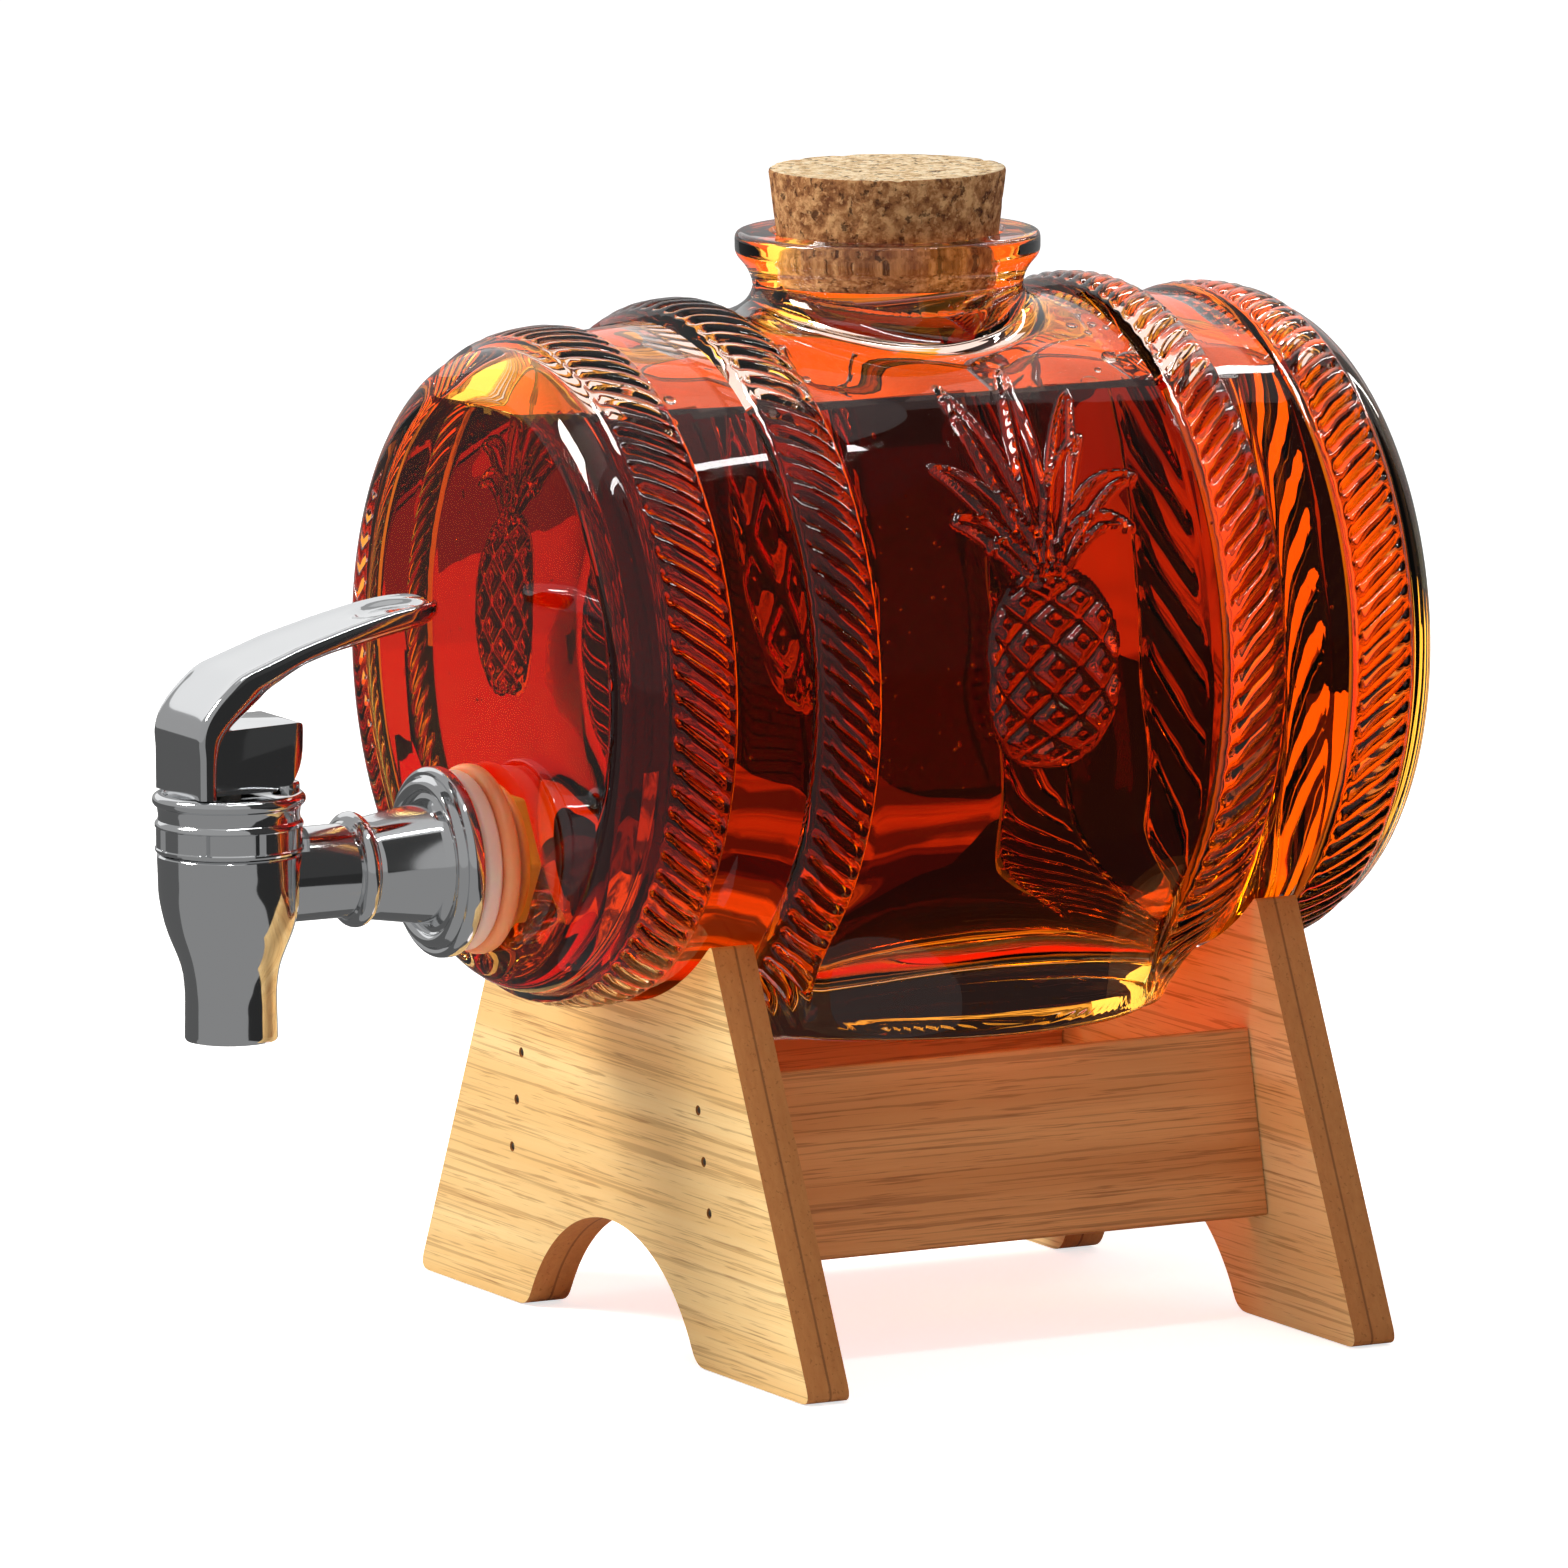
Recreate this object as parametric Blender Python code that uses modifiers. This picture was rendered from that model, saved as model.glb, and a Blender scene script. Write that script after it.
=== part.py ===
"""Glass barrel drink dispenser with a lever tap, lying on a bamboo stand.

Metres, +Z up. The barrel's axis runs along Y with the tap at -Y, X = 0 is the plane of symmetry,
and the origin lies on the surface that the stand rests on, under the middle of the outer box.
Distances named "reach" are counted along the barrel's axis, forward from its middle.
"""
import math

import bmesh
import bpy
from mathutils import Matrix

# Clearances
GAP = 0.0003
OVERRUN = 0.004
WELD = 0.00001

# Glass barrel, turned about its axis
BARREL_MID_RADIUS = 0.057
BELLY_HEIGHT = 0.055
AXIS_HEIGHT = BELLY_HEIGHT + BARREL_MID_RADIUS
SHOULDER_RADIUS = 0.0529
SHOULDER_REACH = 0.069
BARREL_HALF_LENGTH = 0.0755
HEAD_FLAT_RADIUS = 0.046
GLASS_WALL = 0.0045
INNER_SHOULDER_REACH = 0.064
INNER_FLAT_RADIUS = 0.0425

# Raised hoops: two at each end, each wound like a rope between plain edges
OUTER_HOOP_FRONT_REACH = 0.069
OUTER_HOOP_BACK_REACH = 0.0565
OUTER_HOOP_RISE = 0.0022
INNER_HOOP_FRONT_REACH = 0.0435
INNER_HOOP_BACK_REACH = 0.0316
INNER_HOOP_RISE = 0.0032
ROPE_SECTION_SHARES = ((0.12, 0.7), (0.5, 1.0), (0.88, 0.7))
ROPE_GROOVE_DEPTH = 0.0009
ROPE_LAY_STRANDS = 2
STRANDS_PER_SEGMENT = 2

# Fruit relief on both sides, measured along the glass from the height of the axis
FRUIT_RISE = 0.0025
FRUIT_HALF_WIDTH = 0.0117
FRUIT_HALF_HEIGHT = 0.016
BOSS_TURN = math.radians(24.5)
BOSS_TILT = math.radians(14.7)
BOSS_RISE = 0.0017
SEAM_RISE = 0.0001
RELIEF_ROOT = 0.0012
BOSS_COLUMNS = ((0, (-4, -2, 0, 2, 4)), (1, (-3, -1, 1, 3)), (2, (-2, 0, 2)))
CROWN_RISE = 0.019
CROWN_HALF_WIDTH = 0.020
CROWN_HEIGHT = 0.0375
LEAF_HALF_WIDTH = 0.0021
LEAF_RIDGE_RISE = 0.0011

# Each leaf's root, middle and tip as shares of the crown's half width and height, then its width's share
LEAF_SHARES = (
    ((0.0, 0.0), (0.06, 0.51), (0.2, 1.0), 1.0), ((-0.05, 0.0), (-0.25, 0.49), (-0.45, 0.93), 0.95),
    ((0.05, 0.0), (0.375, 0.48), (0.7, 0.85), 0.9), ((0.08, 0.03), (0.28, 0.35), (0.63, 0.6), 1.0),
    ((-0.08, 0.03), (-0.43, 0.33), (-0.8, 0.5), 0.9), ((0.1, 0.0), (0.58, 0.31), (1.0, 0.39), 0.8),
    ((-0.1, -0.01), (-0.43, 0.17), (-0.75, 0.24), 0.8), ((0.1, -0.03), (0.48, 0.17), (0.85, 0.15), 0.75),
    ((-0.08, -0.04), (-0.3, 0.09), (-0.48, 0.09), 0.6),
)

# Neck with its flange, turned about the vertical through the barrel's middle
NECK_RISE = 0.0113
FLANGE_TOP_HEIGHT = AXIS_HEIGHT + BARREL_MID_RADIUS + NECK_RISE
FLANGE_RADIUS = 0.0252
FLANGE_THICKNESS = 0.0037
FLANGE_EDGE = 0.0005
FLANGE_UNDERCUT = 0.0032
NECK_RADIUS = 0.0222
NECK_FLARE_RADIUS = 0.028
NECK_FLARE_HEIGHT = 0.012
NECK_FLARE_DROP = 0.0075
MOUTH_LAND = 0.008

# Round glass foot under the belly
FOOT_RADIUS = 0.0442
FOOT_DROP = 0.0031
FOOT_BOTTOM_HEIGHT = AXIS_HEIGHT - BARREL_MID_RADIUS - FOOT_DROP
FOOT_SIDE_HEIGHT = 0.0095
FOOT_TAPER_RADIUS = 0.0385
FOOT_TAPER_HEIGHT = 0.021
FOOT_EDGE = 0.0015
FOOT_RECESS_RADIUS = 0.037
FOOT_RECESS_DEPTH = 0.0014

# Cork stopper
CORK_PROUD = 0.0103
CORK_TOP_HEIGHT = FLANGE_TOP_HEIGHT + CORK_PROUD
CORK_TOP_RADIUS = 0.0197
CORK_BOTTOM_RADIUS = 0.01745
CORK_LENGTH = 0.0183
CORK_EDGE = 0.0006

# Stand: two end boards and two leaning rails
BOARD_THICKNESS = 0.0076
FRONT_BOARD_REACH = 0.0526
REAR_BOARD_REACH = 0.0486
BOARD_FOOT_HALF_WIDTH = 0.0707
BOARD_TIP_HALF_WIDTH = 0.0369
ARCH_HALF_WIDTH = 0.0305
ARCH_HEIGHT = 0.0194
FOOT_CORNER_RADIUS = 0.003
TIP_CORNER_RADIUS = 0.0012
RAIL_THICKNESS = 0.0076
RAIL_HEIGHT = 0.0312
RAIL_BOTTOM_HEIGHT = 0.0178
RAIL_BOTTOM_HALF_WIDTH = 0.0414
RAIL_LEAN = math.radians(12.6)
NAIL_RADIUS = 0.00065
NAIL_LENGTH = 0.022
NAIL_HEIGHT_SHARES = (0.3, 0.57, 0.84)

# Tap: one chrome-plated moulding with a level stem and an upright barrel
TAP_REACH = 0.1212
STEM_DROP = 0.0305
STEM_HEIGHT = AXIS_HEIGHT - STEM_DROP
TAIL_REACH = 0.060
TAIL_RADIUS = 0.0072
TAP_FLANGE_RADIUS = 0.0157
TAP_FLANGE_THICKNESS = 0.003
TAP_FLANGE_EDGE = 0.0008
STEM_ROOT_RADIUS = 0.0100
STEM_NECK_RADIUS = 0.0083
STEM_FRONT_RADIUS = 0.0077
BEAD_REACH = 0.0992
BEAD_RADIUS = 0.0095
BEAD_HALF_WIDTH = 0.0016
WATERWAY_RADIUS = 0.0042
OUTLET_DROP = 0.0262
OUTLET_HEIGHT = STEM_HEIGHT - OUTLET_DROP
OUTLET_RADIUS = 0.00755
OUTLET_BORE_RADIUS = 0.0058
SPOUT_TOP_DROP = 0.0175
WAIST_DROP = 0.0135
WAIST_RADIUS = 0.0082
HIP_DROP = 0.0079
HIP_RADIUS = 0.01035
BODY_DROP = 0.0028
BODY_RADIUS = 0.0115
BODY_TOP_RISE = 0.0046
BODY_TOP_HEIGHT = STEM_HEIGHT + BODY_TOP_RISE
BODY_TOP_RADIUS = 0.0118
COLLAR_RADIUS = 0.0094
COLLAR_LENGTH = 0.0051
COLLAR_TOP_HEIGHT = BODY_TOP_HEIGHT + COLLAR_LENGTH
CHAMBER_RADIUS = 0.0076
SEAT_DROP = 0.0095
SEAT_HEIGHT = STEM_HEIGHT - SEAT_DROP
SEAT_THICKNESS = 0.0026
SEAT_BORE_RADIUS = 0.0044

# Silicone washers and the nut that clamp the tap to the front head
FLANGE_WASHER_RADIUS = 0.0148
FLANGE_WASHER_THICKNESS = 0.0028
HEAD_WASHER_RADIUS = 0.0156
HEAD_WASHER_THICKNESS = 0.0028
INNER_WASHER_RADIUS = 0.0122
INNER_WASHER_THICKNESS = 0.0028
WASHER_EDGE = 0.0005
NUT_RADIUS = 0.0118
NUT_THICKNESS = 0.0046

# Bonnet that screws over the collar, with grip notches and a peg at its rear
BONNET_RADIUS = 0.0125
BONNET_PLATE = 0.0032
SEAL_THICKNESS = 0.0010
BONNET_TOP_HEIGHT = COLLAR_TOP_HEIGHT + 2 * GAP + SEAL_THICKNESS + BONNET_PLATE
BONNET_EDGE = 0.0010
BONNET_EDGE_SHARE = 0.3
BONNET_ROOM = 0.0006
GRIP_RADIUS = 0.0120
GRIP_TOP_DROP = 0.0047
GRIP_TOP_HEIGHT = BONNET_TOP_HEIGHT - GRIP_TOP_DROP
GRIP_NOTCHES = 8
GRIP_NOTCH_RADIUS = 0.0006
PEG_OFFSET = 0.0101
PEG_RADIUS = 0.0024
PEG_PROUD = 0.0010
PEG_TOP_HEIGHT = BONNET_TOP_HEIGHT + PEG_PROUD

# Valve: a stem with a cross pin, a silicone plug and a return spring
VALVE_ROD_RADIUS = 0.0020
VALVE_ROD_END = 0.0012
VALVE_COLLAR_RADIUS = 0.0042
VALVE_COLLAR_THICKNESS = 0.0010
PLUG_RADIUS = 0.0062
PLUG_THICKNESS = 0.0040
PLUG_EDGE = 0.0007
EYE_HALF_WIDTH = 0.0024
EYE_HALF_DEPTH = 0.0023
EYE_RISE = 0.0025
EYE_DROP = 0.0045
SPRING_RADIUS = 0.0034
SPRING_WIRE_RADIUS = 0.0004
SPRING_TURNS = 6
SPRING_POINTS_PER_TURN = 8

# Lever: a round-heeled block that runs up into a broad curved arm
PIVOT_RISE = 0.0070
PIVOT_HEIGHT = BONNET_TOP_HEIGHT + PIVOT_RISE
PIN_RADIUS = 0.0010
PIN_HALF_LENGTH = 0.0068
LEVER_HALF_WIDTH = 0.0090
LEVER_CLEARANCE = 0.0005
LEVER_BOTTOM_HEIGHT = BONNET_TOP_HEIGHT + LEVER_CLEARANCE
LEVER_FRONT = 0.0091
LEVER_FRONT_CORNER = 0.002
HEEL_RISE = 0.0050
HEEL_TOP_HEIGHT = PIVOT_HEIGHT + HEEL_RISE
HEEL_BOTTOM_HEIGHT = PEG_TOP_HEIGHT + GAP
HEEL_LENGTH = 0.0127
HEEL_FLAT_SHARE = 0.72
HEEL_BULGE_SHARES = ((0.86, 0.13), (0.96, 0.34), (1.0, 0.6), (1.0, 0.78), (0.95, 0.93), (0.87, 1.0))
ARM_LENGTH = 0.0372
ARM_RISE = 0.0224
ARM_ROOT_THICKNESS = 0.0085
ARM_TIP_HALF_WIDTH = 0.0074
SLOT_HALF_WIDTH = 0.0028
SLOT_FRONT = 0.0040
SLOT_BACK = 0.0048
SLOT_TOP_RISE = 0.0037

# The arm's outer face as shares of its length behind the block's front and of its rise over the pivot
ARM_TOP_SHARES = (
    (0.0, 0.0), (-0.004, 0.13), (0.013, 0.25), (0.048, 0.36), (0.1, 0.47), (0.165, 0.575),
    (0.26, 0.65), (0.41, 0.76), (0.62, 0.88), (0.77, 0.95), (0.9, 0.99), (0.965, 1.0),
)
ARM_UNDER_SHARES = (
    (0.985, 0.86), (0.9, 0.8), (0.76, 0.745), (0.58, 0.68),
    (0.44, 0.6), (0.34, 0.49), (0.265, 0.35), (0.22, 0.2),
)

BARREL_SEGMENTS = 40
NECK_SEGMENTS = 40
TAP_SEGMENTS = 28
SMALL_SEGMENTS = 16
NAIL_SEGMENTS = 8
ARC_STEPS = 3
ARCH_STEPS = 14
CRADLE_STEPS = 18

# Places that follow from the sizes above
FRONT_REACH = TAP_REACH + BONNET_RADIUS
BARREL_Y = (FRONT_REACH - BARREL_HALF_LENGTH) / 2
ROPE_STRANDS = BARREL_SEGMENTS * STRANDS_PER_SEGMENT
TAP_Y = BARREL_Y - TAP_REACH
HEAD_WASHER_BACK_REACH = BARREL_HALF_LENGTH + GAP
FLANGE_WASHER_BACK_REACH = HEAD_WASHER_BACK_REACH + HEAD_WASHER_THICKNESS + 2 * GAP
FLANGE_BACK_REACH = FLANGE_WASHER_BACK_REACH + FLANGE_WASHER_THICKNESS + GAP
BARREL_PLACE = (0, BARREL_Y, AXIS_HEIGHT)
STEM_PLACE = (0, BARREL_Y, STEM_HEIGHT)
FORWARD = (math.radians(90), 0, 0)
UPRIGHT = (0, 0, 0)


def clear_scene():
    for obj in list(bpy.data.objects):
        bpy.data.objects.remove(obj, do_unlink=True)


def new_collection(name):
    collection = bpy.data.collections.new(name)
    bpy.context.scene.collection.children.link(collection)
    return collection


def material(name, color, roughness, metallic=0.0, transmission=0.0):
    mat = bpy.data.materials.new(name)
    mat.use_nodes = True
    shader = mat.node_tree.nodes["Principled BSDF"]
    shader.inputs["Base Color"].default_value = (*color, 1.0)
    shader.inputs["Roughness"].default_value = roughness
    shader.inputs["Metallic"].default_value = metallic
    shader.inputs["Transmission Weight"].default_value = transmission
    mat.diffuse_color = (*color, 1.0)
    return mat


def add_object(name, mesh, place=(0, 0, 0), turn=UPRIGHT):
    obj = bpy.data.objects.new(name, mesh)
    obj.location = place
    obj.rotation_euler = turn
    PARTS.objects.link(obj)
    return obj


def as_cutter(obj):
    PARTS.objects.unlink(obj)
    CUTTERS.objects.link(obj)
    obj.hide_render = True
    obj.display_type = "WIRE"
    return obj


def smooth(obj, angle=math.radians(35)):
    obj.data.shade_smooth()
    if obj.data.polygons:
        obj.data.set_sharp_from_angle(angle=angle)


def turned(name, profile, place, turn=UPRIGHT, ring=False, segments=TAP_SEGMENTS):
    """Turn a profile of (radius, height) points, listed down its outer side, about local Z."""
    mesh = bpy.data.meshes.new(name)
    points = [(radius, 0, height) for radius, height in profile]
    edges = [(i, i + 1) for i in range(len(points) - 1)]
    if ring:
        edges.append((len(points) - 1, 0))
    mesh.from_pydata(points, edges, [])
    obj = add_object(name, mesh, place, turn)
    screw = obj.modifiers.new("turn", "SCREW")
    screw.axis = "Z"
    screw.steps = segments
    screw.render_steps = segments
    screw.use_merge_vertices = True
    screw.merge_threshold = WELD
    screw.use_smooth_shade = True
    return obj


def cylinder(name, radius, length, place, turn=UPRIGHT, segments=SMALL_SEGMENTS):
    mesh = bpy.data.meshes.new(name)
    bm = bmesh.new()
    bmesh.ops.create_cone(bm, cap_ends=True, segments=segments, radius1=radius, radius2=radius, depth=length)
    bm.to_mesh(mesh)
    bm.free()
    obj = add_object(name, mesh, place, turn)
    smooth(obj)
    return obj


def box(name, low, high):
    mesh = bpy.data.meshes.new(name)
    size = [b - a for a, b in zip(low, high)]
    middle = [(a + b) / 2 for a, b in zip(low, high)]
    bm = bmesh.new()
    bmesh.ops.create_cube(bm, size=1.0, matrix=Matrix.Diagonal((*size, 1.0)))
    bm.to_mesh(mesh)
    bm.free()
    return add_object(name, mesh, middle)


def outline_solid(name, outline, thickness, place, turn):
    """Fill a flat outline in local XY, thicken it evenly to both sides and return it as a mesh."""
    curve = bpy.data.curves.new(name + "_outline", "CURVE")
    curve.dimensions = "2D"
    curve.fill_mode = "BOTH"
    curve.extrude = thickness / 2
    spline = curve.splines.new("POLY")
    spline.points.add(len(outline) - 1)
    for point, (x, y) in zip(spline.points, outline):
        point.co = (x, y, 0, 1)
    spline.use_cyclic_u = True
    drawn = add_object(name + "_drawn", curve)
    depsgraph = bpy.context.evaluated_depsgraph_get()
    mesh = bpy.data.meshes.new_from_object(drawn.evaluated_get(depsgraph))
    bpy.data.objects.remove(drawn, do_unlink=True)
    bm = bmesh.new()
    bm.from_mesh(mesh)
    bmesh.ops.remove_doubles(bm, verts=bm.verts, dist=WELD)
    bmesh.ops.recalc_face_normals(bm, faces=bm.faces)
    bm.to_mesh(mesh)
    bm.free()
    mesh.name = name
    return add_object(name, mesh, place, turn)


def combine(obj, other, operation, overlapping=False):
    """Join, cut or trim obj by another object, which becomes a cutter and may overlap itself."""
    modifier = obj.modifiers.new(operation.lower(), "BOOLEAN")
    modifier.operation = operation
    modifier.solver = "EXACT"
    modifier.use_self = overlapping
    modifier.object = other
    if other.name in PARTS.objects:
        as_cutter(other)
    return obj


def arc(center, radius, start, end, steps):
    """Points on a circle, from one angle to another, both ends included."""
    cx, cy = center
    angles = [start + (end - start) * i / steps for i in range(steps + 1)]
    return [(cx + radius * math.cos(a), cy + radius * math.sin(a)) for a in angles]


def rounded_corner(before, corner, after, radius, steps=ARC_STEPS):
    """Replace a corner of an outline by points on a curve that leaves both sides smoothly."""
    points = []
    for i in range(steps + 1):
        t = i / steps
        ends = []
        for far in (before, after):
            length = math.dist(corner, far)
            ends.append([c + (f - c) * radius / length for c, f in zip(corner, far)])
        weights = ((1 - t) ** 2, 2 * t * (1 - t), t ** 2)
        controls = (ends[0], corner, ends[1])
        points.append(tuple(sum(w * p[k] for w, p in zip(weights, controls)) for k in range(2)))
    return points


def finish(obj, mat):
    obj.data.materials.clear()
    obj.data.materials.append(mat)
    return obj


# Glass barrel

def barrel_radius(reach):
    """The barrel's plain outer radius, which falls off from its middle to its shoulders."""
    fall_share = (reach / SHOULDER_REACH) ** 2
    return BARREL_MID_RADIUS - (BARREL_MID_RADIUS - SHOULDER_RADIUS) * fall_share


def ring(radius, reach):
    """A plain ring of points round local Z."""
    angles = [2 * math.pi * i / BARREL_SEGMENTS for i in range(BARREL_SEGMENTS)]
    return [(radius * math.cos(a), radius * math.sin(a), reach) for a in angles], 0


def rope_ring(radius, reach, laid):
    """A ring with a crest and a groove for each strand, turned on by the strands that it is laid."""
    points = []
    for i in range(2 * ROPE_STRANDS):
        angle = 2 * math.pi * (i / 2 + laid) / ROPE_STRANDS
        height = radius - ROPE_GROOVE_DEPTH * (i % 2)
        points.append((height * math.cos(angle), height * math.sin(angle), reach))
    return points, laid


def hoop_rings(front_reach, back_reach, rise):
    rings = [ring(barrel_radius(front_reach), front_reach)]
    for count, (along, up) in enumerate(ROPE_SECTION_SHARES):
        reach = front_reach + (back_reach - front_reach) * along
        laid = ROPE_LAY_STRANDS * (len(ROPE_SECTION_SHARES) - 1 - count) // (len(ROPE_SECTION_SHARES) - 1)
        rings.append(rope_ring(barrel_radius(reach) + rise * up, reach, laid))
    rings.append(ring(barrel_radius(back_reach), back_reach))
    return rings


def shoulder_points(flat_radius, head_reach, side_radius, side_reach):
    """A quarter of an ellipse from the flat head's edge to the barrel's side, its end left out."""
    points = []
    for i in range(ARC_STEPS):
        angle = math.pi / 2 * i / ARC_STEPS
        radius = flat_radius + (side_radius - flat_radius) * math.sin(angle)
        reach = side_reach + (head_reach - side_reach) * math.cos(angle)
        points.append((radius, reach))
    return points


def mirrored_profile(half):
    return half + [(radius, -reach) for radius, reach in reversed(half)]


def barrel_rings():
    """Every ring of the barrel's outside, from the front head's flat to the rear head's."""
    half = [ring(radius, reach) for radius, reach in shoulder_points(
        HEAD_FLAT_RADIUS, BARREL_HALF_LENGTH, SHOULDER_RADIUS, SHOULDER_REACH)]
    half += hoop_rings(OUTER_HOOP_FRONT_REACH, OUTER_HOOP_BACK_REACH, OUTER_HOOP_RISE)
    half += hoop_rings(INNER_HOOP_FRONT_REACH, INNER_HOOP_BACK_REACH, INNER_HOOP_RISE)
    half.append(ring(barrel_radius(INNER_HOOP_BACK_REACH / 2), INNER_HOOP_BACK_REACH / 2))
    return half + [([(x, y, -z) for x, y, z in points], laid) for points, laid in reversed(half)]


def bridge(bm, first, second):
    """Join two rings. Between a plain ring and a rope's, each plain edge fans out to the strands' points."""
    (fine, laid), (coarse, unused) = sorted((first, second), key=lambda item: -len(item[0]))
    ratio = len(fine) // len(coarse)
    half = ratio // 2
    for i in range(len(coarse)):
        here, ahead = coarse[i], coarse[(i + 1) % len(coarse)]
        if ratio == 1:
            bm.faces.new((here, ahead, fine[(i + 1) % len(fine)]))
            bm.faces.new((here, fine[(i + 1) % len(fine)], fine[i]))
            continue
        spots = [fine[(ratio * i + k - 2 * laid) % len(fine)] for k in range(ratio + 1)]
        for k in range(ratio):
            bm.faces.new((here if k < half else ahead, spots[k], spots[k + 1]))
        bm.faces.new((here, ahead, spots[half]))


def barrel_blank():
    """The barrel's outside, lofted from ring to ring."""
    mesh = bpy.data.meshes.new("glass_barrel")
    bm = bmesh.new()
    rings = [([bm.verts.new(point) for point in points], laid) for points, laid in barrel_rings()]
    for first, second in zip(rings, rings[1:]):
        bridge(bm, first, second)
    for points, laid in (rings[0], rings[-1]):
        bm.faces.new(points)
    bmesh.ops.recalc_face_normals(bm, faces=bm.faces)
    bm.to_mesh(mesh)
    bm.free()
    barrel = add_object("glass_barrel", mesh, BARREL_PLACE, FORWARD)
    smooth(barrel)
    return barrel


def relief_point(side, across, up, rise):
    """A place on the glass, across to the right as seen from that side and up from the axis's height."""
    angle = up / BARREL_MID_RADIUS
    radius = barrel_radius(across) + rise
    return side * radius * math.cos(angle), radius * math.sin(angle), -side * across


def boss_point(side, column, row, rise):
    """A place in the fruit's lattice, whose steps narrow toward its edges as on a round fruit."""
    across = FRUIT_HALF_WIDTH * math.sin(column * BOSS_TURN)
    up = FRUIT_RISE + FRUIT_HALF_HEIGHT * math.sin(row * BOSS_TILT)
    return relief_point(side, across, up, rise)


def add_fruit(bm, side):
    """The lattice of four-sided bosses, closed underneath inside the glass."""
    places = [(sign * column, row) for column, rows in BOSS_COLUMNS for row in rows for sign in (1, -1)]
    outer, inner = {}, {}
    for column, row in set(places):
        for c, r in ((column + 1, row), (column, row + 1), (column - 1, row), (column, row - 1)):
            if (c, r) not in outer:
                outer[c, r] = bm.verts.new(boss_point(side, c, r, SEAM_RISE))
                inner[c, r] = bm.verts.new(boss_point(side, c, r, -RELIEF_ROOT))
    edges = {}
    for column, row in sorted(set(places)):
        corners = [(column + 1, row), (column, row + 1), (column - 1, row), (column, row - 1)]
        top = bm.verts.new(boss_point(side, column, row, BOSS_RISE))
        for a, b in zip(corners, corners[1:] + corners[:1]):
            bm.faces.new((outer[a], outer[b], top))
            edges[a, b] = (b, a) in edges or edges.pop((b, a), False)
        bm.faces.new([inner[c] for c in reversed(corners)])
    for a, b in edges:
        if (b, a) not in edges:
            bm.faces.new((outer[b], outer[a], inner[a], inner[b]))


def add_leaf(bm, side, places, width_share):
    """One leaf as a ridge that narrows to its tip."""
    spots = [(CROWN_HALF_WIDTH * across, CROWN_RISE + CROWN_HEIGHT * up) for across, up in places]
    span = math.dist(spots[0], spots[2])
    aside = ((spots[0][1] - spots[2][1]) / span, (spots[2][0] - spots[0][0]) / span)
    reach = LEAF_HALF_WIDTH * width_share * (1 + RELIEF_ROOT / LEAF_RIDGE_RISE)
    rows = []
    for across, up in spots[:2]:
        left, right = [(across + s * reach * aside[0], up + s * reach * aside[1]) for s in (1, -1)]
        rows.append([bm.verts.new(relief_point(side, a, u, rise)) for (a, u), rise in (
            (left, -RELIEF_ROOT), ((across, up), LEAF_RIDGE_RISE), (right, -RELIEF_ROOT))])
    tip = bm.verts.new(relief_point(side, *spots[2], -RELIEF_ROOT / 2))
    (l0, t0, r0), (l1, t1, r1) = rows
    for face in ((l0, t0, t1, l1), (t0, r0, r1, t1), (r0, l0, l1, r1), (l0, r0, t0),
                 (l1, t1, tip), (t1, r1, tip), (r1, l1, tip)):
        bm.faces.new(face)


def fruit_relief():
    mesh = bpy.data.meshes.new("fruit_relief")
    bm = bmesh.new()
    for side in (1, -1):
        add_fruit(bm, side)
        for root, middle, tip, width_share in LEAF_SHARES:
            add_leaf(bm, side, (root, middle, tip), width_share)
    bmesh.ops.recalc_face_normals(bm, faces=bm.faces)
    bm.to_mesh(mesh)
    bm.free()
    return add_object("fruit_relief", mesh, BARREL_PLACE, FORWARD)


def barrel_cavity():
    inner_head = BARREL_HALF_LENGTH - GLASS_WALL
    side_radius = barrel_radius(INNER_SHOULDER_REACH) - GLASS_WALL
    half = [(0, inner_head)]
    half += shoulder_points(INNER_FLAT_RADIUS, inner_head, side_radius, INNER_SHOULDER_REACH)
    for reach in (INNER_SHOULDER_REACH, INNER_HOOP_FRONT_REACH, INNER_HOOP_BACK_REACH / 2):
        half.append((barrel_radius(reach) - GLASS_WALL, reach))
    return turned("cavity", mirrored_profile(half), BARREL_PLACE, FORWARD, segments=BARREL_SEGMENTS)


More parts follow.
